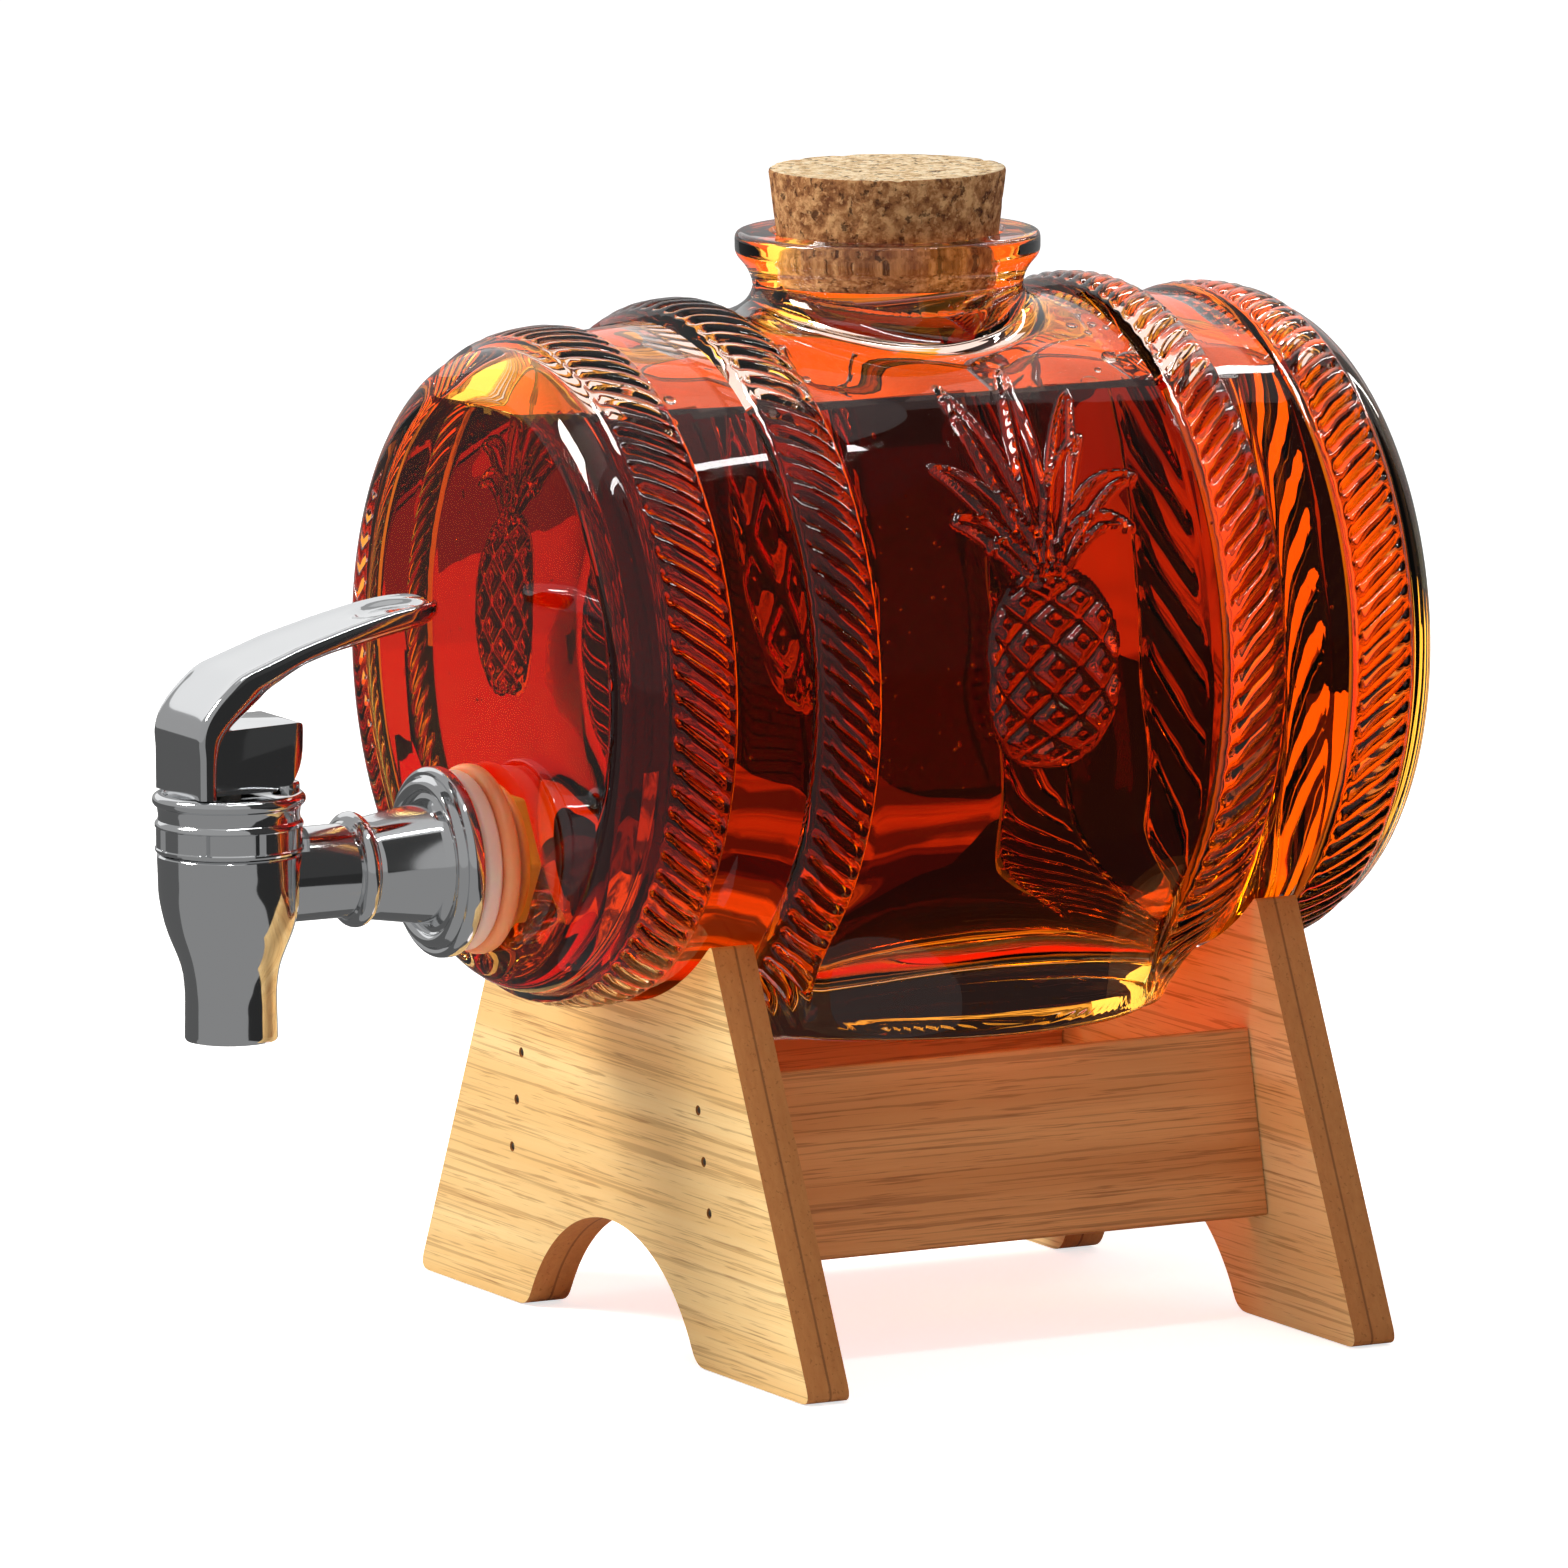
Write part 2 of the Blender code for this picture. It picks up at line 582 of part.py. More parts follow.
def neck_blank():
    side_bottom = FLANGE_TOP_HEIGHT - FLANGE_THICKNESS
    neck_top = side_bottom - FLANGE_UNDERCUT
    flare_bottom = AXIS_HEIGHT + BARREL_MID_RADIUS - NECK_FLARE_DROP
    profile = [
        (0, FLANGE_TOP_HEIGHT),
        (FLANGE_RADIUS - FLANGE_EDGE, FLANGE_TOP_HEIGHT),
        (FLANGE_RADIUS, FLANGE_TOP_HEIGHT - FLANGE_EDGE),
        (FLANGE_RADIUS, side_bottom),
    ]
    for i in range(1, ARC_STEPS + 1):
        angle = math.pi / 2 * i / ARC_STEPS
        radius = FLANGE_RADIUS + (NECK_RADIUS - FLANGE_RADIUS) * math.sin(angle)
        profile.append((radius, side_bottom - FLANGE_UNDERCUT * (1 - math.cos(angle))))
    for i in range(1, ARC_STEPS + 1):
        angle = math.pi / 2 * i / ARC_STEPS
        radius = NECK_RADIUS + (NECK_FLARE_RADIUS - NECK_RADIUS) * (1 - math.cos(angle))
        profile.append((radius, neck_top + (flare_bottom - neck_top) * math.sin(angle)))
    profile.append((NECK_FLARE_RADIUS, flare_bottom - NECK_FLARE_HEIGHT / 2))
    profile.append((0, flare_bottom - NECK_FLARE_HEIGHT))
    return turned("neck", profile, (0, BARREL_Y, 0), segments=NECK_SEGMENTS)


def cork_radius(height):
    share = (CORK_TOP_HEIGHT - height) / CORK_LENGTH
    return CORK_TOP_RADIUS + (CORK_BOTTOM_RADIUS - CORK_TOP_RADIUS) * share


def neck_bore():
    """The mouth is tapered to the cork; under it the bore runs straight down into the barrel."""
    mouth_top = FLANGE_TOP_HEIGHT + OVERRUN
    mouth_bottom = FLANGE_TOP_HEIGHT - MOUTH_LAND
    bore_radius = CORK_BOTTOM_RADIUS + GAP
    profile = [
        (0, mouth_top),
        (cork_radius(mouth_top) + GAP, mouth_top),
        (cork_radius(mouth_bottom) + GAP, mouth_bottom),
        (bore_radius, mouth_bottom - OVERRUN),
        (bore_radius, AXIS_HEIGHT),
        (0, AXIS_HEIGHT),
    ]
    return turned("neck_bore", profile, (0, BARREL_Y, 0), segments=NECK_SEGMENTS)


def foot_blank():
    side_top = FOOT_BOTTOM_HEIGHT + FOOT_SIDE_HEIGHT
    profile = [
        (0, AXIS_HEIGHT),
        (FOOT_TAPER_RADIUS, AXIS_HEIGHT - OVERRUN),
        (FOOT_TAPER_RADIUS, FOOT_BOTTOM_HEIGHT + FOOT_TAPER_HEIGHT),
        (FOOT_RADIUS - FOOT_EDGE, side_top + FOOT_EDGE),
        (FOOT_RADIUS, side_top),
        (FOOT_RADIUS, FOOT_BOTTOM_HEIGHT + FOOT_EDGE),
        (FOOT_RADIUS - FOOT_EDGE, FOOT_BOTTOM_HEIGHT),
        (0, FOOT_BOTTOM_HEIGHT),
    ]
    return turned("foot", profile, (0, BARREL_Y, 0), segments=NECK_SEGMENTS)


def foot_recess():
    middle = FOOT_BOTTOM_HEIGHT + FOOT_RECESS_DEPTH / 2 - OVERRUN / 2
    length = FOOT_RECESS_DEPTH + OVERRUN
    return cylinder("foot_recess", FOOT_RECESS_RADIUS, length, (0, BARREL_Y, middle), segments=NECK_SEGMENTS)


def tap_hole():
    radius = TAIL_RADIUS + 3 * GAP
    reach = BARREL_HALF_LENGTH - GLASS_WALL / 2
    length = GLASS_WALL + 2 * OVERRUN
    return cylinder("tap_hole", radius, length, (0, BARREL_Y - reach, STEM_HEIGHT), FORWARD, TAP_SEGMENTS)


def glass_barrel(mat):
    barrel = barrel_blank()
    combine(barrel, fruit_relief(), "UNION", overlapping=True)
    combine(barrel, neck_blank(), "UNION")
    combine(barrel, foot_blank(), "UNION")
    combine(barrel, barrel_cavity(), "DIFFERENCE")
    combine(barrel, neck_bore(), "DIFFERENCE")
    combine(barrel, tap_hole(), "DIFFERENCE")
    combine(barrel, foot_recess(), "DIFFERENCE")
    return finish(barrel, mat)


def cork_stopper(mat):
    bottom = CORK_TOP_HEIGHT - CORK_LENGTH
    profile = [
        (0, CORK_TOP_HEIGHT),
        (CORK_TOP_RADIUS - CORK_EDGE, CORK_TOP_HEIGHT),
        (cork_radius(CORK_TOP_HEIGHT - CORK_EDGE), CORK_TOP_HEIGHT - CORK_EDGE),
        (cork_radius(bottom + CORK_EDGE), bottom + CORK_EDGE),
        (CORK_BOTTOM_RADIUS - CORK_EDGE, bottom),
        (0, bottom),
    ]
    return finish(turned("cork_stopper", profile, (0, BARREL_Y, 0), segments=NECK_SEGMENTS), mat)


# Bamboo stand

def cradle_radius():
    return barrel_radius(FRONT_BOARD_REACH - BOARD_THICKNESS) + GAP


def board_outline():
    """One end board: two feet, an arch between them, straight leaning sides and a round cradle."""
    cradle = cradle_radius()
    tip_angle = math.asin(BOARD_TIP_HALF_WIDTH / cradle)
    tip = (BOARD_TIP_HALF_WIDTH, AXIS_HEIGHT - cradle * math.cos(tip_angle))
    inner_angle = math.asin((BOARD_TIP_HALF_WIDTH - TIP_CORNER_RADIUS) / cradle)
    foot = (BOARD_FOOT_HALF_WIDTH, 0)
    arch_radius = (ARCH_HALF_WIDTH ** 2 + ARCH_HEIGHT ** 2) / (2 * ARCH_HEIGHT)
    arch_center = ARCH_HEIGHT - arch_radius
    arch_angle = math.acos(-arch_center / arch_radius)
    toe = (ARCH_HALF_WIDTH, 0)
    toe_angle = math.asin(-arch_center / arch_radius) + FOOT_CORNER_RADIUS / arch_radius
    toe_side = arc((0, arch_center), arch_radius, toe_angle, math.pi / 2, ARCH_STEPS)
    right = list(reversed(toe_side))
    right += rounded_corner(toe_side[0], toe, foot, FOOT_CORNER_RADIUS)[1:]
    right += rounded_corner(toe, foot, tip, FOOT_CORNER_RADIUS)
    tip_inner = (cradle * math.sin(inner_angle), AXIS_HEIGHT - cradle * math.cos(inner_angle))
    right += rounded_corner(foot, tip, tip_inner, TIP_CORNER_RADIUS)[:-1]
    right += arc((0, AXIS_HEIGHT), cradle, inner_angle - math.pi / 2, -math.pi / 2, CRADLE_STEPS // 2)
    left = [(-x, z) for x, z in reversed(right) if x > GAP]
    return right + left


def rail_center(side):
    """The middle of a rail's end, which leans outward toward its foot."""
    across = (math.sin(RAIL_LEAN), math.cos(RAIL_LEAN))
    x = RAIL_BOTTOM_HALF_WIDTH - RAIL_HEIGHT / 2 * across[0] - RAIL_THICKNESS / 2 * across[1]
    z = RAIL_BOTTOM_HEIGHT + RAIL_HEIGHT / 2 * across[1] - RAIL_THICKNESS / 2 * across[0]
    return side * x, z


def rail_point(side, height_share):
    x, z = rail_center(side)
    up = (height_share - 1 / 2) * RAIL_HEIGHT
    return x - side * up * math.sin(RAIL_LEAN), z + up * math.cos(RAIL_LEAN)


def nail_places():
    """Name, x, height and end (-1 front, 1 rear) of each nail through a board into a rail."""
    places = []
    for end_name, end in (("front", -1), ("rear", 1)):
        for side_name, side in (("right", 1), ("left", -1)):
            for count, share in enumerate(NAIL_HEIGHT_SHARES, 1):
                x, z = rail_point(side, share)
                places.append(("nail_%s_%s_%d" % (end_name, side_name, count), x, z, end))
    return places


def board_outer_y(end):
    reach = FRONT_BOARD_REACH if end < 0 else REAR_BOARD_REACH + BOARD_THICKNESS
    return BARREL_Y + end * reach


def nail_holes(end):
    """One cutter with every nail hole of one end of the stand."""
    outer = board_outer_y(end)
    low, high = -OVERRUN, NAIL_LENGTH + GAP
    mesh = bpy.data.meshes.new("nail_holes")
    bm = bmesh.new()
    for name, x, z, nail_end in nail_places():
        if nail_end != end:
            continue
        y = outer - end * (low + high) / 2
        place = Matrix.Translation((x, y, z)) @ Matrix.Rotation(math.radians(90), 4, "X")
        radius = NAIL_RADIUS + GAP
        bmesh.ops.create_cone(
            bm, cap_ends=True, segments=NAIL_SEGMENTS, radius1=radius, radius2=radius, depth=high - low,
            matrix=place)
    bm.to_mesh(mesh)
    bm.free()
    return as_cutter(add_object("nail_holes", mesh))


def end_board(name, end, holes, mat):
    middle = board_outer_y(end) - end * BOARD_THICKNESS / 2
    board = outline_solid(name, board_outline(), BOARD_THICKNESS, (0, middle, 0), FORWARD)
    combine(board, holes, "DIFFERENCE")
    smooth(board)
    return finish(board, mat)


def rail(name, side, holes, mat):
    front = board_outer_y(-1) + BOARD_THICKNESS + GAP
    back = board_outer_y(1) - BOARD_THICKNESS - GAP
    x, z = rail_center(side)
    half = (RAIL_THICKNESS / 2, (back - front) / 2, RAIL_HEIGHT / 2)
    piece = box(name, [-h for h in half], half)
    piece.location = (x, (front + back) / 2, z)
    piece.rotation_euler = (0, -side * RAIL_LEAN, 0)
    for cutter in holes:
        combine(piece, cutter, "DIFFERENCE")
    return finish(piece, mat)


def stand(bamboo, steel):
    front_holes = nail_holes(-1)
    rear_holes = nail_holes(1)
    end_board("front_board", -1, front_holes, bamboo)
    end_board("rear_board", 1, rear_holes, bamboo)
    for name, side in (("right_rail", 1), ("left_rail", -1)):
        rail(name, side, (front_holes, rear_holes), bamboo)
    for name, x, z, end in nail_places():
        y = board_outer_y(end) - end * NAIL_LENGTH / 2
        finish(cylinder(name, NAIL_RADIUS, NAIL_LENGTH, (x, y, z), FORWARD, NAIL_SEGMENTS), steel)


# Tap

def stem_blank():
    """The level stem: tail through the glass, flange, cone, bead and the front tube."""
    flange_front = FLANGE_BACK_REACH + TAP_FLANGE_THICKNESS
    bead_front = BEAD_REACH + BEAD_HALF_WIDTH
    bead_back = BEAD_REACH - BEAD_HALF_WIDTH
    profile = [
        (0, TAP_REACH),
        (STEM_FRONT_RADIUS, TAP_REACH),
        (STEM_FRONT_RADIUS, bead_front),
        (BEAD_RADIUS - BEAD_HALF_WIDTH / 2, bead_front),
        (BEAD_RADIUS, BEAD_REACH),
        (BEAD_RADIUS - BEAD_HALF_WIDTH / 2, bead_back),
        (STEM_NECK_RADIUS, bead_back),
        (STEM_ROOT_RADIUS, flange_front),
        (TAP_FLANGE_RADIUS - TAP_FLANGE_EDGE, flange_front),
        (TAP_FLANGE_RADIUS, flange_front - TAP_FLANGE_EDGE),
        (TAP_FLANGE_RADIUS, FLANGE_BACK_REACH + TAP_FLANGE_EDGE),
        (TAP_FLANGE_RADIUS - TAP_FLANGE_EDGE, FLANGE_BACK_REACH),
        (TAIL_RADIUS, FLANGE_BACK_REACH),
        (TAIL_RADIUS, TAIL_REACH),
        (0, TAIL_REACH),
    ]
    return turned("stem", profile, STEM_PLACE, FORWARD)


def bonnet_room():
    """The stem is milled flat where the bonnet turns over it."""
    top = STEM_HEIGHT + 2 * STEM_FRONT_RADIUS
    radius = BONNET_RADIUS + BONNET_ROOM
    middle = (BODY_TOP_HEIGHT + top) / 2
    return cylinder("bonnet_room", radius, top - BODY_TOP_HEIGHT, (0, TAP_Y, middle), segments=TAP_SEGMENTS)


def tap_bores():
    chamber_middle = (SEAT_HEIGHT + COLLAR_TOP_HEIGHT + OVERRUN) / 2
    chamber_length = COLLAR_TOP_HEIGHT + OVERRUN - SEAT_HEIGHT
    chamber = cylinder(
        "chamber", CHAMBER_RADIUS, chamber_length, (0, TAP_Y, chamber_middle), segments=TAP_SEGMENTS)
    spout_top = SEAT_HEIGHT - SEAT_THICKNESS
    spout_bottom = OUTLET_HEIGHT - OVERRUN
    spout = cylinder(
        "spout", OUTLET_BORE_RADIUS, spout_top - spout_bottom, (0, TAP_Y, (spout_top + spout_bottom) / 2),
        segments=TAP_SEGMENTS)
    seat = cylinder("seat_bore", SEAT_BORE_RADIUS, 2 * OVERRUN, (0, TAP_Y, SEAT_HEIGHT - SEAT_THICKNESS / 2))
    back = BARREL_Y - TAIL_REACH + OVERRUN
    waterway = cylinder(
        "waterway", WATERWAY_RADIUS, back - TAP_Y, (0, (back + TAP_Y) / 2, STEM_HEIGHT), FORWARD)
    return chamber, spout, seat, waterway


def tap_body(mat):
    profile = [
        (0, COLLAR_TOP_HEIGHT),
        (COLLAR_RADIUS, COLLAR_TOP_HEIGHT),
        (COLLAR_RADIUS, BODY_TOP_HEIGHT),
        (BODY_TOP_RADIUS, BODY_TOP_HEIGHT),
        (BODY_RADIUS, STEM_HEIGHT - BODY_DROP),
        (HIP_RADIUS, STEM_HEIGHT - HIP_DROP),
        (WAIST_RADIUS, STEM_HEIGHT - WAIST_DROP),
        (OUTLET_RADIUS, STEM_HEIGHT - SPOUT_TOP_DROP),
        (OUTLET_RADIUS, OUTLET_HEIGHT),
        (0, OUTLET_HEIGHT),
    ]
    body = turned("tap_body", profile, (0, TAP_Y, 0))
    stem = stem_blank()
    combine(stem, bonnet_room(), "DIFFERENCE")
    combine(body, stem, "UNION")
    for bore in tap_bores():
        combine(body, bore, "DIFFERENCE")
    return finish(body, mat)


def washer(name, outer, inner, back_reach, thickness, mat):
    front_reach = back_reach + thickness
    profile = [
        (inner, front_reach),
        (outer - WASHER_EDGE, front_reach),
        (outer, front_reach - WASHER_EDGE),
        (outer, back_reach + WASHER_EDGE),
        (outer - WASHER_EDGE, back_reach),
        (inner, back_reach),
    ]
    return finish(turned(name, profile, STEM_PLACE, FORWARD, ring=True), mat)


def clamping(silicone, plastic):
    """Two washers outside the head, one inside it, and the nut on the tail."""
    bore = TAIL_RADIUS + GAP
    washer("head_washer", HEAD_WASHER_RADIUS, bore, HEAD_WASHER_BACK_REACH, HEAD_WASHER_THICKNESS, silicone)
    washer(
        "flange_washer", FLANGE_WASHER_RADIUS, bore, FLANGE_WASHER_BACK_REACH, FLANGE_WASHER_THICKNESS,
        silicone)
    inner_front = BARREL_HALF_LENGTH - GLASS_WALL - GAP
    inner_back = inner_front - INNER_WASHER_THICKNESS
    washer("inner_washer", INNER_WASHER_RADIUS, bore, inner_back, INNER_WASHER_THICKNESS, silicone)
    nut_front = inner_back - GAP
    nut_middle = BARREL_Y - nut_front + NUT_THICKNESS / 2
    nut = cylinder("lock_nut", NUT_RADIUS, NUT_THICKNESS, (0, nut_middle, STEM_HEIGHT), FORWARD, 6)
    hole = cylinder(
        "nut_bore", bore, NUT_THICKNESS + OVERRUN, (0, nut_middle, STEM_HEIGHT), FORWARD, TAP_SEGMENTS)
    combine(nut, hole, "DIFFERENCE")
    finish(nut, plastic)


def bonnet_blank():
    plate_bottom = BONNET_TOP_HEIGHT - BONNET_PLATE
    skirt_bottom = BODY_TOP_HEIGHT + GAP
    bore = COLLAR_RADIUS + GAP
    edge = BONNET_EDGE * BONNET_EDGE_SHARE
    profile = [
        (VALVE_ROD_RADIUS + GAP, BONNET_TOP_HEIGHT),
        (BONNET_RADIUS - BONNET_EDGE, BONNET_TOP_HEIGHT),
        (BONNET_RADIUS - edge, BONNET_TOP_HEIGHT - edge),
        (BONNET_RADIUS, BONNET_TOP_HEIGHT - BONNET_EDGE),
        (BONNET_RADIUS, GRIP_TOP_HEIGHT + BONNET_EDGE),
        (GRIP_RADIUS, GRIP_TOP_HEIGHT),
        (GRIP_RADIUS, skirt_bottom),
        (bore, skirt_bottom),
        (bore, plate_bottom),
        (VALVE_ROD_RADIUS + GAP, plate_bottom),
    ]
    return turned("tap_bonnet", profile, (0, TAP_Y, 0), ring=True)


def grip_cutter():
    """Upright notches round the grip band, one of them at the very front."""
    mesh = bpy.data.meshes.new("grip_notches")
    bm = bmesh.new()
    low = BODY_TOP_HEIGHT - GRIP_NOTCH_RADIUS
    for i in range(GRIP_NOTCHES):
        angle = 2 * math.pi * i / GRIP_NOTCHES - math.pi / 2
        x, y = GRIP_RADIUS * math.cos(angle), GRIP_RADIUS * math.sin(angle)
        place = Matrix.Translation((x, TAP_Y + y, (low + GRIP_TOP_HEIGHT) / 2))
        if i != GRIP_NOTCHES // 2:
            bmesh.ops.create_cone(
                bm, cap_ends=True, segments=NAIL_SEGMENTS, radius1=GRIP_NOTCH_RADIUS,
                radius2=GRIP_NOTCH_RADIUS, depth=GRIP_TOP_HEIGHT - low, matrix=place)
    bm.to_mesh(mesh)
    bm.free()
    return add_object("grip_notches", mesh)


def tap_bonnet(mat):
    bonnet = bonnet_blank()
    peg_bottom = BODY_TOP_HEIGHT + GAP
    peg_y = TAP_Y + PEG_OFFSET
    peg_middle = (peg_bottom + PEG_TOP_HEIGHT) / 2
    peg = cylinder("peg", PEG_RADIUS, PEG_TOP_HEIGHT - peg_bottom, (0, peg_y, peg_middle))
    combine(bonnet, grip_cutter(), "DIFFERENCE")
    combine(bonnet, peg, "UNION")
    collar_length = BONNET_TOP_HEIGHT - BONNET_PLATE - peg_bottom
    collar_middle = (BONNET_TOP_HEIGHT - BONNET_PLATE + peg_bottom - OVERRUN) / 2
    collar = cylinder(
        "collar_room", COLLAR_RADIUS + GAP, collar_length + OVERRUN, (0, TAP_Y, collar_middle),
        segments=TAP_SEGMENTS)
    combine(bonnet, collar, "DIFFERENCE")
    return finish(bonnet, mat)


def bonnet_seal(mat):
    bottom = COLLAR_TOP_HEIGHT + GAP
    top = BONNET_TOP_HEIGHT - BONNET_PLATE - GAP
    profile = [(CHAMBER_RADIUS, top), (COLLAR_RADIUS, top), (COLLAR_RADIUS, bottom), (CHAMBER_RADIUS, bottom)]
    return finish(turned("bonnet_seal", profile, (0, TAP_Y, 0), ring=True), mat)


# Valve and lever

def plug_top():
    return SEAT_HEIGHT + GAP + PLUG_THICKNESS


def valve_plug(mat):
    bottom = SEAT_HEIGHT + GAP
    socket = VALVE_ROD_RADIUS + GAP
    socket_bottom = bottom + VALVE_ROD_END - GAP
    profile = [
        (0, plug_top()),
        (PLUG_RADIUS - PLUG_EDGE, plug_top()),
        (PLUG_RADIUS, plug_top() - PLUG_EDGE),
        (PLUG_RADIUS, bottom + PLUG_EDGE),
        (PLUG_RADIUS - PLUG_EDGE, bottom),
        (0, bottom),
    ]
    plug = turned("valve_plug", profile, (0, TAP_Y, 0))
    length = plug_top() - socket_bottom + OVERRUN
    hole = cylinder("plug_socket", socket, length, (0, TAP_Y, socket_bottom + length / 2))
    combine(plug, hole, "DIFFERENCE")
    return finish(plug, mat)


def valve_stem(mat):
    bottom = SEAT_HEIGHT + GAP + VALVE_ROD_END
    collar_bottom = plug_top() + GAP
    collar_top = collar_bottom + VALVE_COLLAR_THICKNESS
    eye_bottom = PIVOT_HEIGHT - EYE_DROP
    profile = [
        (0, eye_bottom + VALVE_ROD_RADIUS),
        (VALVE_ROD_RADIUS, eye_bottom + VALVE_ROD_RADIUS),
        (VALVE_ROD_RADIUS, collar_top),
        (VALVE_COLLAR_RADIUS, collar_top),
        (VALVE_COLLAR_RADIUS, collar_bottom),
        (VALVE_ROD_RADIUS, collar_bottom),
        (VALVE_ROD_RADIUS, bottom),
        (0, bottom),
    ]
    stem = turned("valve_stem", profile, (0, TAP_Y, 0), segments=SMALL_SEGMENTS)
    eye = box(
        "stem_eye", (-EYE_HALF_WIDTH, TAP_Y - EYE_HALF_DEPTH, eye_bottom),
        (EYE_HALF_WIDTH, TAP_Y + EYE_HALF_DEPTH, PIVOT_HEIGHT + EYE_RISE))
    combine(stem, eye, "UNION")
    hole = cylinder(
        "eye_hole", PIN_RADIUS + GAP, 2 * EYE_HALF_WIDTH + OVERRUN, (0, TAP_Y, PIVOT_HEIGHT),
        (0, math.radians(90), 0))
    combine(stem, hole, "DIFFERENCE")
    return finish(stem, mat)


def return_spring(mat):
    """A coil from the stem's collar up to the bonnet's plate."""
    bottom = plug_top() + 2 * GAP + VALVE_COLLAR_THICKNESS + SPRING_WIRE_RADIUS
    top = BONNET_TOP_HEIGHT - BONNET_PLATE - GAP - SPRING_WIRE_RADIUS
    curve = bpy.data.curves.new("return_spring", "CURVE")
    curve.dimensions = "3D"
    curve.bevel_depth = SPRING_WIRE_RADIUS
    curve.bevel_resolution = 1
    curve.use_fill_caps = True
    count = SPRING_TURNS * SPRING_POINTS_PER_TURN
    spline = curve.splines.new("POLY")
    spline.points.add(count)
    for i, point in enumerate(spline.points):
        angle = 2 * math.pi * i / SPRING_POINTS_PER_TURN
        height = bottom + (top - bottom) * i / count
        point.co = (SPRING_RADIUS * math.cos(angle), SPRING_RADIUS * math.sin(angle), height, 1)
    return finish(add_object("return_spring", curve, (0, TAP_Y, 0)), mat)


def block_outline():
    """Side view of the block and its heel, relative to the pivot, forward to the left."""
    front_low = (-LEVER_FRONT, LEVER_BOTTOM_HEIGHT - PIVOT_HEIGHT)
    heel_low = HEEL_BOTTOM_HEIGHT - PIVOT_HEIGHT
    heel_high = HEEL_TOP_HEIGHT - PIVOT_HEIGHT
    step = HEEL_LENGTH / 2
    points = [front_low, (step, front_low[1]), (step, heel_low), (HEEL_LENGTH * HEEL_FLAT_SHARE, heel_low)]
    for along, up in HEEL_BULGE_SHARES:
        points.append((HEEL_LENGTH * along, heel_low + (heel_high - heel_low) * up))
    points.append((-LEVER_FRONT + ARM_ROOT_THICKNESS / 2, heel_high))
    points.append((-LEVER_FRONT, heel_low + (heel_high - heel_low) / 2))
    return points


def block_plan():
    """Plan of the block: square front corners slightly rounded, and a round heel."""
    front = -LEVER_FRONT - OVERRUN
    side = LEVER_HALF_WIDTH
    heel_center = (0, HEEL_LENGTH - side)
    points = arc(heel_center, side, 0, math.pi, 4 * ARC_STEPS)
    corners = ((-side, -LEVER_FRONT), (side, -LEVER_FRONT))
    for corner, before, after in (
            (corners[0], (-side, 0), corners[1]), (corners[1], corners[0], (side, 0))):
        points += rounded_corner(before, corner, after, LEVER_FRONT_CORNER)
    return points


def arm_outline():
    """Side view of the arm, relative to the pivot: outer face up to the tip, then back underneath."""
    base = (-LEVER_FRONT, 0)
    total = LEVER_FRONT + ARM_LENGTH
    root = (-LEVER_FRONT + ARM_ROOT_THICKNESS, 0)
    points = [root, base]
    for along, up in ARM_TOP_SHARES[1:] + ARM_UNDER_SHARES:
        points.append((-LEVER_FRONT + total * along, ARM_RISE * up))
    return points


def arm_plan():
    """Plan of the arm: full width at the block, drawn in a little toward its round tip."""
    tip_center = (0, ARM_LENGTH - ARM_TIP_HALF_WIDTH)
    points = arc(tip_center, ARM_TIP_HALF_WIDTH, 0, math.pi, 4 * ARC_STEPS)
    points += [(-LEVER_HALF_WIDTH, 0), (-LEVER_HALF_WIDTH, -LEVER_FRONT - OVERRUN)]
    points += [(LEVER_HALF_WIDTH, -LEVER_FRONT - OVERRUN), (LEVER_HALF_WIDTH, 0)]
    return points


def lever(mat):
    pivot = (0, TAP_Y, PIVOT_HEIGHT)
    sideways = (math.radians(90), 0, math.radians(90))
    tall = 2 * (ARM_RISE + PIVOT_HEIGHT - LEVER_BOTTOM_HEIGHT) + OVERRUN
    wide = 2 * LEVER_HALF_WIDTH + OVERRUN
    block = outline_solid("lever", block_outline(), wide, pivot, sideways)
    combine(block, outline_solid("block_plan", block_plan(), tall, pivot, UPRIGHT), "INTERSECT")
    arm = outline_solid("arm", arm_outline(), wide, pivot, sideways)
    combine(arm, outline_solid("arm_plan", arm_plan(), tall, pivot, UPRIGHT), "INTERSECT")
    combine(block, arm, "UNION")
    slot_low = LEVER_BOTTOM_HEIGHT - OVERRUN
    slot = box(
        "stem_slot", (-SLOT_HALF_WIDTH, TAP_Y - SLOT_FRONT, slot_low),
        (SLOT_HALF_WIDTH, TAP_Y + SLOT_BACK, PIVOT_HEIGHT + SLOT_TOP_RISE))
    combine(block, slot, "DIFFERENCE")
    socket_length = 2 * (PIN_HALF_LENGTH + GAP)
    sockets = cylinder("pin_sockets", PIN_RADIUS + GAP, socket_length, pivot, (0, math.radians(90), 0))
    combine(block, sockets, "DIFFERENCE")
    return finish(block, mat)


def lever_pin(mat):
    pivot = (0, TAP_Y, PIVOT_HEIGHT)
    pin = cylinder("lever_pin", PIN_RADIUS, 2 * PIN_HALF_LENGTH, pivot, (0, math.radians(90), 0))
    return finish(pin, mat)


